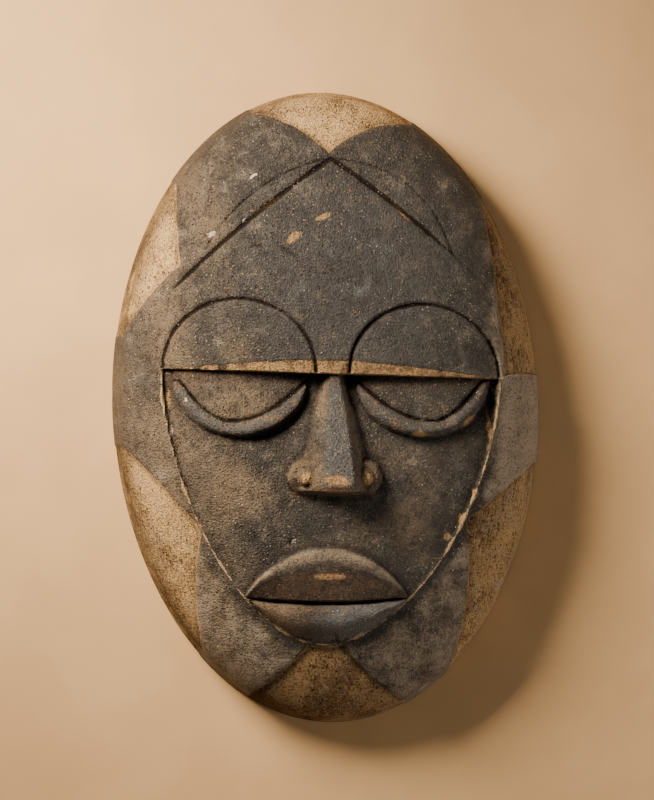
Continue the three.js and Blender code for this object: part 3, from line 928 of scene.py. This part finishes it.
    def looks(self, x: Grid, y: Grid, z: Grid, pale: Grid, inside: Grid,
              crease_shade: Grid) -> Looks:
        """Wear, dirt, dust, tint, painted shade and painted sheen from the form itself and from named places.

        Args:
            x, y: Plan places across and up.
            z: Heights.
            pale: Distance into a pale field.
            inside: Distance inside the face's ridge.
            crease_shade: Distance from the nearest cut line, which the finish paints dark as shade.

        Returns:
            The looks: distances in millimetres, and shares from 0 to 1.
        """
        how, nose = self.weather, self.nose
        level = z.copy()
        for _ in range(8):
            beside = level[:-2, 1:-1] + level[2:, 1:-1] + level[1:-1, :-2] + level[1:-1, 2:]
            level[1:-1, 1:-1] = beside / 4.0
        proud = z - level
        under = self.face.brow.line(x) - y
        chip, dent = (np.max([patch.share(x, y) for patch in patches], axis=0) for patches in (CHIPS, DENTS))

        roll, inner, lower_right, lower_left = self.lips(x, y)
        on_nose = (y > nose.base) * (under > 0.0)
        ridge = smooth_step(nose.flank(x, y), 0.6, 0.95) * on_nose
        sides = ((nose.flank(x, y) > 0.0) | (nose.wings(x, y)[0] > 0.0)) * on_nose
        base = (y < nose.base) * (y > nose.base - nose.underside - 1.0) * (np.abs(x - 1.0) < 23.0)
        lids = EYES[0].on_roll(x, y) + 0.7 * EYES[1].on_roll(x, y)
        eyeballs = sum(soft_spot(x, y, (eye.side * eye.x, 2.0), (26.0, 12.0)) for eye in EYES)
        cheeks = soft_spot(np.abs(x + 8.0), y, (42.0, -45.0), (32.0, 40.0))
        # Painted shade: the middle of the forehead is darkened and given less dust.
        forehead = soft_spot(x, y, (10.0, 66.0), (44.0, 44.0)) * (under < 0.0)
        # Painted shade with dirt: darker and browner just under the brow.
        socket = np.exp(-((under / 6.0) ** 2)) * (under > 0.0) * (inside > 0.0)
        # Painted shade: less dust on the upper right of the face.
        shaded = (under > -2.0) * (x > 12.0) * (y > -14.0)

        in_clay = pale > 0.0
        low = smooth_step(-inside, 2.0, 8.0) * smooth_step(-y, 10.0, 60.0)
        left, far_right = smooth_step(-x, 0.0, 60.0), smooth_step(x, 78.0, 96.0)
        foot = smooth_step(-y, 92.0, 110.0) * in_clay * (np.abs(x) < 50.0)
        # Share on the rounded outer side, which is painted darker as shade, most of all on the left.
        rounded = smooth_step(self.dome.outline.share_at(x, y, 0.0), 0.9, 1.0)

        # Polished paint with a painted blue-grey sheen on the upper lip's roll, the right of the lower lip,
        # the nose ridge, the eye rolls and the forehead.
        polish_and_sheen = np.maximum(how.sheen_roll * roll, lower_right) + how.sheen_ridge * ridge + how.sheen_lids * lids
        polish_and_sheen = polish_and_sheen + how.sheen_and_shade_forehead * forehead
        # Brown stain that is partly painted shade: under the brow, under the nose, on the bottom field and on
        # the right fields; brown stain on the lips.
        brown_and_shade = inner + how.brown_lip * lower_left + how.brown_and_shade_socket * socket + how.brown_and_shade_foot * foot + base
        brown_and_shade = brown_and_shade + how.brown_and_shade_right * in_clay * smooth_step(x, 40.0, 90.0)
        # Ash on the low and far right parts; on the upper lip's roll it also paints a highlight.
        ash = np.where(in_clay, how.ash_clay_low * low + how.ash_clay_right * far_right,
                       how.ash_low * low + how.ash_right * far_right) + how.ash_and_highlight_roll * roll
        dust = how.dust_cheeks * cheeks + how.dust_eyeballs * eyeballs
        dust = dust + how.dust_left * smooth_step(-x, 20.0, 90.0) + how.dust_low * low
        dust = dust + how.dust_mottle * waves(x, y, 40.0, 11)
        # More dust on the upper lip's roll paints a highlight there; less dust on the upper right of the face
        # paints shade.
        dust = dust + how.dust_lip * lower_left + how.dust_and_highlight_roll * roll - how.painted_shade_right * shaded
        dust = dust + how.dust_nose * sides
        # Dirt and painted shade: darker in hollows and dents, on the outer sides (most of all on the left),
        # under the brow and on the forehead's middle.
        grime_and_shade = how.grime_and_shade_hollow * np.clip(-proud / 0.6, 0.0, 1.0) + how.grime_dent * dent
        grime_and_shade = grime_and_shade + rounded * (how.shade_sides + left * np.where(in_clay, how.shade_left_clay, how.shade_left_paint))
        grime_and_shade = grime_and_shade + how.grime_and_shade_socket * socket + how.shade_forehead * forehead

        shares = (self.wear(x, y, proud), chip, grime_and_shade, dust - polish_and_sheen, polish_and_sheen, brown_and_shade, ash)
        edge = np.where(y < self.face.top + 4.0, inside, FAR)
        return Looks(pale, edge, crease_shade, *(np.clip(share, 0.0, 1.0) for share in shares))

    def row_angles(self) -> Grid:
        """Angles of the rows from pole to pole, closer together at the brow, nose base and lips.

        Returns:
            Angles in radians from -pi/2 to pi/2.
        """
        angle = HALF_TURN
        y = np.sin(angle) * HEIGHT / 2.0
        density = np.cos(angle) + 0.16
        dense = ((self.face.brow.y, 4.0, 2.2), (self.nose.base, 2.0, 2.2), (self.mouth.y, 5.0, 1.0))
        for place, reach, gain in dense:
            density = density + gain * np.cos(angle) * np.exp(-(((y - place) / reach) ** 2))
        return spread_angles(angle, density, self.rows)

    def column_angles(self) -> Grid:
        """Angles of the front's columns from side to side, closer together over the nose."""
        density = np.cos(HALF_TURN) + 0.2 + 0.5 * np.exp(-((np.sin(HALF_TURN) / 0.16) ** 2))
        return spread_angles(HALF_TURN, density, self.columns)

    def front(self) -> tuple[Grid, Looks]:
        """Grid of the front: rows are level lines and follow the brow's slope near it.

        Returns:
            Points as an array of rows, columns and x, y, z, and the looks.
        """
        latitude, longitude = np.meshgrid(self.row_angles(), self.column_angles(), indexing="ij")
        across, up = np.cos(latitude) * np.sin(longitude), np.sin(latitude)
        outline, inset = self.dome.outline, self.dome.batter - self.dome.outline.petal_proud
        x, y = outline.plan(across, up, inset)
        share = np.hypot(across, up)
        y = y + self.face.brow.slope * x * np.exp(-(((y - self.face.brow.y) / 25.0) ** 2)) * (1.0 - share**4)
        z, looks = self.relief(x, y)
        sunk = smooth_step(looks.pale, -self.fields.edge, self.fields.edge) * smooth_step(share, 0.8, 1.0)
        move = outline.petal_proud * sunk / np.maximum(np.hypot(x, y), 1e-6)
        x, y = x * (1.0 - move), y * (1.0 - move)
        top = TOP - 0.2
        return np.stack([x, y, np.minimum(z, top)], axis=2), looks

    def edge_ring(self, front: Grid, looks: Looks, side: int) -> Grid:
        """Columns from the front's edge down the side, over the rim and to the middle of the hollow.

        Args:
            front: The front's points.
            looks: The front's looks.
            side: -1 for the left half and 1 for the right half.

        Returns:
            Points as rows, columns and x, y, z.
        """
        column = 0 if side < 0 else -1
        angle = self.row_angles()
        across, up = side * np.cos(angle), np.sin(angle)
        outline = self.dome.outline
        pale = looks.pale[:, column]
        proud = outline.petal_proud * (1.0 - smooth_step(pale, -self.fields.edge, self.fields.edge))
        base_x, base_y = outline.plan(across, up, 0.0)
        reach = np.hypot(base_x, base_y)
        base_x, base_y = base_x * (1.0 + proud / reach), base_y * (1.0 + proud / reach)
        start = front[:, column]
        rings = []
        for down in (0.2, 0.45, 0.7, 0.92):
            ring = start + (np.stack([base_x, base_y, np.zeros_like(base_x)], axis=1) - start) * down
            rings.append(ring)
        rings.append(np.stack([base_x, base_y, np.full_like(base_x, 0.6)], axis=1))
        rings.append(np.stack([base_x * 0.996, base_y * 0.997, np.zeros_like(base_x)], axis=1))
        rim_x, rim_y = outline.plan(across, up, self.rim)
        rings.append(np.stack([rim_x * 1.006, rim_y * 1.004, np.zeros_like(rim_x)], axis=1))
        depth = self.dome.side_height + self.dome.rise - self.crown_wall
        for angle_in in np.linspace(np.pi / 2.0, 0.0, self.hollow_columns)[:-1]:
            share = math.sin(angle_in)
            x, y = outline.plan(across * share, up, self.rim)
            spread = np.hypot(across * share, up)
            z = depth * self.dome.profile(np.minimum(spread, 1.0))
            rings.append(np.stack([x, y, z + 0.25 * waves(x, y, 16.0, 8, 3.0) * (1.0 - spread)], axis=1))
        return np.stack(rings, axis=1)

    def build(self, name: str) -> bpy.types.Object:
        """Joins front, sides, rim and hollow into one closed, smooth mesh.

        Args:
            name: Name of the piece.

        Returns:
            The object, with its looks as point attributes.
        """
        front, looks = self.front()
        left, right = self.edge_ring(front, looks, -1), self.edge_ring(front, looks, 1)
        angle = self.row_angles()
        middle_x, middle_y = self.dome.outline.plan(np.zeros(self.rows), np.sin(angle), self.rim)
        depth = self.dome.side_height + self.dome.rise - self.crown_wall
        middle_z = depth * self.dome.profile(np.abs(np.sin(angle)))
        middle = np.stack([middle_x, middle_y, middle_z], axis=1)[:, None]
        grid = np.concatenate([front, right, middle, left[:, ::-1]], axis=1)
        grid = np.clip(grid, np.array(CAD_BOX[0]) / MM, np.array(CAD_BOX[1]) / MM)
        back = left.shape[1]
        attributes = {}
        for one in fields(looks):
            value = getattr(looks, one.name)
            first, last = (np.repeat(value[:, [column]], back, axis=1) for column in (0, -1))
            attributes[one.name] = np.concatenate([value, last, first[:, :1], first], axis=1)
        raw = np.concatenate([np.zeros(self.columns + 4), np.ones(2 * back - 7), np.zeros(4)])
        attributes["raw"] = np.tile(raw, (self.rows, 1))
        return closed_mesh(name, grid, attributes)


def closed_mesh(name: str, grid: Grid, attributes: dict[str, Grid]) -> bpy.types.Object:
    """Mesh of a grid whose columns run all the way round and whose end rows fold shut.

    Args:
        name: Name of the piece.
        grid: Points in millimetres, as rows, columns and x, y, z.
        attributes: A value at each point, by name.

    Returns:
        The object, with equal points joined and empty faces left out.
    """
    rows, columns = grid.shape[:2]
    points = grid.reshape(-1, 3)
    keys = np.round(points * 200.0).astype(np.int64)
    _, first, number = np.unique(keys, axis=0, return_index=True, return_inverse=True)
    number = number.reshape(rows, columns)
    a, b = number[:-1], np.roll(number, -1, axis=1)[:-1]
    d, c = number[1:], np.roll(number, -1, axis=1)[1:]
    quads = np.stack([a, b, c, d], axis=-1).reshape(-1, 4)
    faces = [tuple(dict.fromkeys(quad)) for quad in quads.tolist()]
    faces = [face for face in faces if len(face) >= 3]
    mesh = bpy.data.meshes.new(name)
    mesh.from_pydata(points[first] * MM, [], faces)
    for key, values in attributes.items():
        layer = mesh.attributes.new(key, "FLOAT", "POINT")
        layer.data.foreach_set("value", values.reshape(-1)[first].astype(np.float32))
    mesh.validate()
    mesh.shade_smooth()
    mesh.set_sharp_from_angle(angle=math.radians(55.0))
    piece = bpy.data.objects.new(name, mesh)
    bpy.context.scene.collection.objects.link(piece)
    return piece


@dataclass(frozen=True)
class Pigments:
    """Linear colours of the finish."""

    paint: Colour = (0.047, 0.043, 0.039)
    paint_light: Colour = (0.240, 0.190, 0.135)
    paint_dark: Colour = (0.011, 0.009, 0.008)
    # Painted blue-grey sheen of the polished paint.
    sheen: Colour = (0.070, 0.073, 0.080)
    # Brown stain, also used as painted shade.
    brown_and_shade: Colour = (0.100, 0.058, 0.034)
    dust: Colour = (0.165, 0.118, 0.074)
    ash: Colour = (0.340, 0.275, 0.205)
    clay: Colour = (0.510, 0.335, 0.160)
    # Brown stain of the clay, also used as painted shade.
    clay_stain_and_shade: Colour = (0.145, 0.085, 0.044)
    bare: Colour = (0.520, 0.335, 0.155)
    bare_dark: Colour = (0.200, 0.105, 0.042)
    tan: Colour = (0.360, 0.260, 0.150)
    # Dark pits, and also the painted shade in creases, hollows and under the brow.
    pit_and_shade: Colour = (0.014, 0.010, 0.008)
    speck: Colour = (0.600, 0.520, 0.420)
    raw: Colour = (0.150, 0.092, 0.052)
    raw_dark: Colour = (0.062, 0.038, 0.022)


class NodeSheet:
    """Short ways to add shader nodes to one material."""

    def __init__(self, name: str) -> None:
        """Starts a material with only a shader and an output.

        Args:
            name: Name of the material.
        """
        self.material = bpy.data.materials.new(name)
        self.material.use_nodes = True
        self.nodes = self.material.node_tree.nodes
        self.links = self.material.node_tree.links
        self.shader = self.nodes["Principled BSDF"]
        self.object_place = self.nodes.new("ShaderNodeTexCoord").outputs["Object"]

    def put(self, socket: Socket, value: object) -> None:
        """Links a socket to another, or sets it to a plain value.

        Args:
            socket: The socket to fill.
            value: A socket, a number or a colour.
        """
        if isinstance(value, Socket):
            self.links.new(value, socket)
        elif isinstance(value, tuple) and len(value) == 3 and socket.type == "RGBA":
            socket.default_value = (*value, 1.0)
        else:
            socket.default_value = value

    def attribute(self, name: str) -> Socket:
        """Value of a point attribute of the piece.

        Args:
            name: Name of the attribute.

        Returns:
            The value.
        """
        node = self.nodes.new("ShaderNodeAttribute")
        node.attribute_name = name
        return node.outputs["Fac"]

    def place(self, stretch: float) -> Socket:
        """Object coordinates in metres, drawn out along Y.

        Args:
            stretch: How much longer features become along Y.

        Returns:
            The coordinates.
        """
        mapping = self.nodes.new("ShaderNodeMapping")
        mapping.inputs["Scale"].default_value = (1.0, 1.0 / stretch, 1.0)
        self.links.new(self.object_place, mapping.inputs["Vector"])
        return mapping.outputs["Vector"]

    def noise(self, size: float, detail: float = 3.0, stretch: float = 1.0,
              rough: float = 0.55) -> Socket:
        """Noise with features of about one size.

        Args:
            size: Feature size in millimetres.
            detail: Octaves.
            stretch: How much longer the features are along Y.
            rough: Strength of the finer octaves.

        Returns:
            The noise value, about 0.5 on average.
        """
        node = self.nodes.new("ShaderNodeTexNoise")
        self.links.new(self.place(stretch), node.inputs["Vector"])
        node.inputs["Scale"].default_value = 1.0 / (size * MM)
        node.inputs["Detail"].default_value = detail
        node.inputs["Roughness"].default_value = rough
        return node.outputs["Fac"]

    def dots(self, spacing: float, radius: float, stretch: float = 1.0) -> Socket:
        """Scattered dots: 1 inside a dot and 0 outside.

        Args:
            spacing: Mean distance between cells, in millimetres.
            radius: Dot radius as a share of the spacing.
            stretch: How much longer the dots are along Y.

        Returns:
            The dot mask.
        """
        cells = self.nodes.new("ShaderNodeTexVoronoi")
        self.links.new(self.place(stretch), cells.inputs["Vector"])
        cells.inputs["Scale"].default_value = 1.0 / (spacing * MM)
        return self.ramp(cells.outputs["Distance"], radius, radius * 0.45)

    def ramp(self, value: Socket, low: float, high: float) -> Socket:
        """Smooth 0 to 1 as a value goes from low to high.

        Args:
            value: The value.
            low: Where 0 ends, which may be over high.
            high: Where 1 starts.

        Returns:
            The share.
        """
        node = self.nodes.new("ShaderNodeMapRange")
        node.interpolation_type = "SMOOTHSTEP"
        for name, number in (("From Min", low), ("From Max", high)):
            node.inputs[name].default_value = number
        self.links.new(value, node.inputs["Value"])
        return node.outputs["Result"]

    def math(self, kind: str, a: object, b: object = 0.0) -> Socket:
        """One arithmetic step on two values.

        Args:
            kind: Blender's name of the step.
            a: First value or socket.
            b: Second value or socket.

        Returns:
            The result.
        """
        node = self.nodes.new("ShaderNodeMath")
        node.operation = kind
        self.put(node.inputs[0], a)
        self.put(node.inputs[1], b)
        return node.outputs[0]

    def times(self, a: object, b: object) -> Socket:
        """Product of two values."""
        return self.math("MULTIPLY", a, b)

    def stirred(self, value: object, noise: Socket, amount: float) -> Socket:
        """Value moved up and down by a noise."""
        return self.math("ADD", value, self.times(self.math("SUBTRACT", noise, 0.5), amount))

    def mix(self, share: object, a: object, b: object) -> Socket:
        """Colour between two others.

        Args:
            share: Share of b, a value or socket.
            a: First colour or socket.
            b: Second colour or socket.

        Returns:
            The colour.
        """
        node = self.nodes.new("ShaderNodeMix")
        node.data_type = "RGBA"
        self.put(node.inputs["Factor"], share)
        self.put(node.inputs["A"], a)
        self.put(node.inputs["B"], b)
        return node.outputs["Result"]


@dataclass(frozen=True)
class PaintedWood:
    """Dark pigment on old wood, pale clay in the fields, bare wood where it is worn."""

    pigments: Pigments = field(default_factory=Pigments)
    paint_rough: float = 0.62
    clay_rough: float = 0.95
    specular: float = 0.22
    polish_gloss: float = 0.3
    bump: float = 1.0

    def paint(self, sheet: NodeSheet, blotch: Socket, fine: Socket,
              grit: Socket) -> Socket:
        """Colour of the paint: a soft mottle with fine grain, a painted blue-grey sheen where rubbed, brown
        that is partly painted shade, and dust.

        Args:
            sheet: The material.
            blotch: Noise with features of about ten millimetres.
            fine: Noise with features of about one millimetre.
            grit: Noise with features of about one millimetre and no finer ones.

        Returns:
            The colour.
        """
        p = self.pigments
        patchy = sheet.noise(4.5, 3.0, 1.3, 0.6)
        colour = sheet.mix(sheet.times(sheet.ramp(blotch, 0.6, 0.4), 0.5), p.paint, p.paint_dark)
        # Painted blue-grey sheen where the paint is polished, then brown that is partly painted shade.
        colour = sheet.mix(sheet.times(sheet.attribute("polish_and_sheen"), 0.75), colour, p.sheen)
        colour = sheet.mix(sheet.times(sheet.attribute("brown_and_shade"), 0.8), colour, p.brown_and_shade)
        dusty = sheet.stirred(sheet.stirred(sheet.attribute("dust"), fine, 0.8), patchy, 0.7)
        colour = sheet.mix(sheet.times(sheet.ramp(dusty, 0.0, 1.3), 0.8), colour, p.dust)
        colour = sheet.mix(sheet.times(sheet.ramp(patchy, 0.48, 0.36), 0.4), colour, p.paint_dark)
        return sheet.mix(sheet.times(sheet.ramp(grit, 0.6, 0.74), 0.5), colour, p.paint_light)

    def clay(self, sheet: NodeSheet, grain: Socket, fine: Socket) -> Socket:
        """Colour of the pale clay: cream with brown stains, painted shade on the bottom and right fields,
        grain streaks and clusters of pits.

        Args:
            sheet: The material.
            grain: Noise drawn out along the wood.
            fine: Noise with features of about one millimetre.

        Returns:
            The colour.
        """
        p = self.pigments
        stain_and_shade = sheet.stirred(sheet.stirred(sheet.noise(24.0, 4.0), fine, 1.1), grain, 0.9)
        # Brown from the looks is partly painted shade on the bottom and right fields.
        stain_and_shade = sheet.math("ADD", sheet.ramp(stain_and_shade, 0.34, 0.86), sheet.times(sheet.attribute("brown_and_shade"), 0.7))
        colour = sheet.mix(stain_and_shade, p.clay, p.clay_stain_and_shade)
        pits = sheet.times(sheet.dots(2.2, 0.34, 1.6), sheet.ramp(sheet.noise(12.0, 2.0), 0.44, 0.58))
        return sheet.mix(sheet.times(pits, 0.8), colour, p.pit_and_shade)

    def build(self, name: str) -> bpy.types.Material:
        """Makes the material.

        Args:
            name: Name of the material.

        Returns:
            The material.
        """
        sheet, p = NodeSheet(name), self.pigments
        grain = sheet.noise(1.1, 4.0, 14.0)
        blotch = sheet.noise(11.0, 4.0)
        fine = sheet.noise(1.1, 4.0, 1.2, 0.75)

        in_clay = sheet.ramp(sheet.stirred(sheet.attribute("pale"), blotch, 2.0), -0.3, 0.3)
        grit = sheet.noise(0.9, 1.0, 1.0, 0.5)
        colour = sheet.mix(in_clay, self.paint(sheet, blotch, fine, grit), self.clay(sheet, grain, fine))

        uneven = sheet.math("ADD", sheet.times(fine, 0.6), sheet.times(sheet.noise(3.2, 3.0), 0.4))
        ash = sheet.stirred(sheet.stirred(sheet.attribute("ash"), uneven, 1.6), blotch, 1.6)
        ash = sheet.ramp(ash, 0.05, 0.95)
        colour = sheet.mix(sheet.times(ash, 0.85), colour, p.ash)
        colour = sheet.mix(sheet.times(sheet.ramp(grit, 0.47, 0.28), 0.75), colour, p.pit_and_shade)
        bare = sheet.mix(sheet.ramp(sheet.stirred(uneven, grain, 0.3), 0.42, 0.6), p.bare, p.bare_dark)
        worn = sheet.ramp(sheet.stirred(sheet.attribute("wear"), uneven, 2.2), 0.42, 0.58)
        colour = sheet.mix(worn, colour, bare)
        edge = sheet.math("ABSOLUTE", sheet.attribute("edge"))
        edge = sheet.ramp(sheet.stirred(sheet.stirred(edge, fine, 2.0), blotch, 5.0), 0.5, 0.1)
        colour = sheet.mix(edge, colour, p.tan)
        chips = sheet.ramp(sheet.stirred(sheet.attribute("chip"), uneven, 2.2), 0.3, 0.45)
        colour = sheet.mix(chips, colour, p.speck)

        # Painted shade: dark along the grooves, lid lines and slit, and where the share of dirt and painted
        # shade is high.
        crease_shade = sheet.stirred(sheet.stirred(sheet.attribute("crease_shade"), fine, 1.6), blotch, 2.0)
        crease_shade = sheet.ramp(crease_shade, 1.3, 0.6)
        grime_and_shade = sheet.times(sheet.attribute("grime_and_shade"), sheet.ramp(blotch, 0.25, 0.5))
        dark = sheet.math("MAXIMUM", sheet.times(crease_shade, 0.95), sheet.times(grime_and_shade, 0.7))
        colour = sheet.mix(dark, colour, p.pit_and_shade)
        pits = sheet.times(sheet.dots(2.2, 0.24), sheet.ramp(sheet.noise(14.0, 2.0), 0.38, 0.56))
        colour = sheet.mix(sheet.times(pits, 0.8), colour, p.pit_and_shade)
        specks = sheet.times(sheet.dots(2.7, 0.14), sheet.ramp(sheet.noise(20.0, 2.0), 0.42, 0.6))
        colour = sheet.mix(sheet.times(specks, 0.7), colour, p.speck)
        flecks = sheet.times(sheet.dots(5.5, 0.14), sheet.ramp(sheet.noise(26.0, 3.0), 0.5, 0.6))
        colour = sheet.mix(sheet.times(flecks, 0.8), colour, p.bare_dark)
        raw = sheet.mix(sheet.ramp(grain, 0.35, 0.65), p.raw, p.raw_dark)
        colour = sheet.mix(sheet.attribute("raw"), colour, raw)
        sheet.put(sheet.shader.inputs["Base Color"], colour)

        polish_and_sheen = sheet.attribute("polish_and_sheen")
        matt = sheet.math("SUBTRACT", sheet.stirred(self.paint_rough, fine, 0.3), sheet.times(polish_and_sheen, 0.15))
        matt = sheet.math("MAXIMUM", matt, sheet.times(in_clay, self.clay_rough))
        sheet.put(sheet.shader.inputs["Roughness"], matt)
        gloss = sheet.math("ADD", sheet.times(polish_and_sheen, self.polish_gloss), self.specular)
        gloss = sheet.times(gloss, sheet.math("SUBTRACT", 1.0, sheet.math("MAXIMUM", dark, in_clay)))
        sheet.put(sheet.shader.inputs["Specular IOR Level"], gloss)

        height = sheet.math("ADD", sheet.times(fine, 0.8), sheet.times(grit, 0.7))
        height = sheet.math("ADD", height, sheet.times(grain, 0.2))
        height = sheet.math("SUBTRACT", height, sheet.times(pits, 0.8))
        height = sheet.math("SUBTRACT", height, sheet.times(worn, 0.3))
        bump = sheet.nodes.new("ShaderNodeBump")
        bump.inputs["Strength"].default_value = self.bump
        bump.inputs["Distance"].default_value = 1.6 * MM
        sheet.links.new(height, bump.inputs["Height"])
        sheet.links.new(bump.outputs["Normal"], sheet.shader.inputs["Normal"])
        return sheet.material


@dataclass(frozen=True)
class FloorPlaster:
    """Warm pale matt ground with a faint mottle."""

    light: Colour = (0.590, 0.370, 0.175)
    dark: Colour = (0.540, 0.335, 0.157)

    def build(self, name: str) -> bpy.types.Material:
        """Makes the material.

        Args:
            name: Name of the material.

        Returns:
            The material.
        """
        sheet = NodeSheet(name)
        mottle = sheet.ramp(sheet.noise(60.0, 4.0), 0.35, 0.65)
        sheet.put(sheet.shader.inputs["Base Color"], sheet.mix(mottle, self.light, self.dark))
        sheet.put(sheet.shader.inputs["Roughness"], 0.95)
        return sheet.material


@dataclass(frozen=True)
class Studio:
    """Pale floor, soft key light from the upper left, side light from the lower right, fill and camera."""

    distance: float = 2.2
    view_height: float = 0.4325
    centre: Pair = (0.0005, 0.004)
    yaw: float = 3.0
    key_elevation: float = 35.0
    key_azimuth: float = 139.0
    key_power: float = 4.0
    key_size: float = 0.3
    key_distance: float = 0.7
    key_spread: float = 75.0
    key_target: Pair = (-0.06, 0.03)
    key_colour: Colour = (1.0, 0.85, 0.66)
    side_place: tuple[float, float, float] = (1.0, -0.45, 0.25)
    side_power: float = 7.5
    side_size: float = 0.4
    side_colour: Colour = (1.0, 0.9, 0.78)
    fill: float = 0.07
    fill_colour: Colour = (1.0, 0.93, 0.84)
    floor_half: float = 6.0
    floor_gap: float = 0.0005

    def build(self) -> None:
        """Adds floor, lights, world and camera to the scene."""
        self.floor()
        turn, lift = math.radians(self.key_azimuth), math.radians(self.key_elevation)
        way = Vector((math.cos(turn) * math.cos(lift), math.sin(turn) * math.cos(lift), math.sin(lift)))
        key = self.area("key", way * self.key_distance, self.key_size, self.key_power, self.key_colour)
        key.data.spread = math.radians(self.key_spread)
        aim = Vector((*self.key_target, 0.0)) - key.location
        key.rotation_euler = aim.to_track_quat("-Z", "Y").to_euler()
        self.area("side", Vector(self.side_place), self.side_size, self.side_power, self.side_colour)
        world = bpy.data.worlds.new("studio")
        bpy.context.scene.world = world
        world.use_nodes = True
        sky = world.node_tree.nodes["Background"]
        sky.inputs["Color"].default_value = (*self.fill_colour, 1.0)
        sky.inputs["Strength"].default_value = self.fill
        self.camera()

    def floor(self) -> None:
        """Adds the floor, a square just under the mask's rim."""
        half = self.floor_half
        mesh = bpy.data.meshes.new("floor")
        corners = [(-half, -half, 0.0), (half, -half, 0.0), (half, half, 0.0), (-half, half, 0.0)]
        mesh.from_pydata(corners, [], [(0, 1, 2, 3)])
        floor = bpy.data.objects.new("floor", mesh)
        floor.location.z = -self.floor_gap
        bpy.context.scene.collection.objects.link(floor)
        mesh.materials.append(FloorPlaster().build("floor_plaster"))

    def camera(self) -> None:
        """Adds the camera, which looks down on the mask, turned a little to its left."""
        scene = bpy.context.scene
        data = bpy.data.cameras.new("camera")
        data.sensor_fit = "VERTICAL"
        data.sensor_height = 24.0
        data.lens = data.sensor_height * self.distance / self.view_height
        camera = bpy.data.objects.new("camera", data)
        yaw = math.radians(self.yaw)
        target = Vector((self.centre[0], self.centre[1], 0.0))
        camera.location = target + Vector((-math.sin(yaw), 0.0, math.cos(yaw))) * self.distance
        camera.rotation_euler = (0.0, -yaw, 0.0)
        scene.collection.objects.link(camera)
        scene.camera = camera

    def area(self, name: str, place: Vector, size: float, power: float,
             colour: Colour) -> bpy.types.Object:
        """Adds a square area light that faces the middle of the mask.

        Args:
            name: Name of the light.
            place: Where it is, in metres.
            size: Side of the square, in metres.
            power: Power in watts.
            colour: Linear colour.

        Returns:
            The lamp.
        """
        data = bpy.data.lights.new(name, "AREA")
        data.size, data.energy, data.color = size, power, colour
        lamp = bpy.data.objects.new(name, data)
        lamp.location = place
        lamp.rotation_euler = (-place).to_track_quat("-Z", "Y").to_euler()
        bpy.context.scene.collection.objects.link(lamp)
        return lamp


def main() -> None:
    """Builds the mask and the studio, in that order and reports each."""
    logging.basicConfig(level=logging.INFO, format="%(message)s")
    shell = MaskShell().build("carved_mask")
    shell.data.materials.append(PaintedWood().build("painted_wood"))
    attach(shell, "root")
    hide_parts("mask")
    LOG.info("%s: %d vertices, %d faces", shell.name, len(shell.data.vertices), len(shell.data.polygons))
    Studio().build()
    LOG.info("studio: floor, key light, side light, fill and camera")


if __name__ == "__main__":
    main()
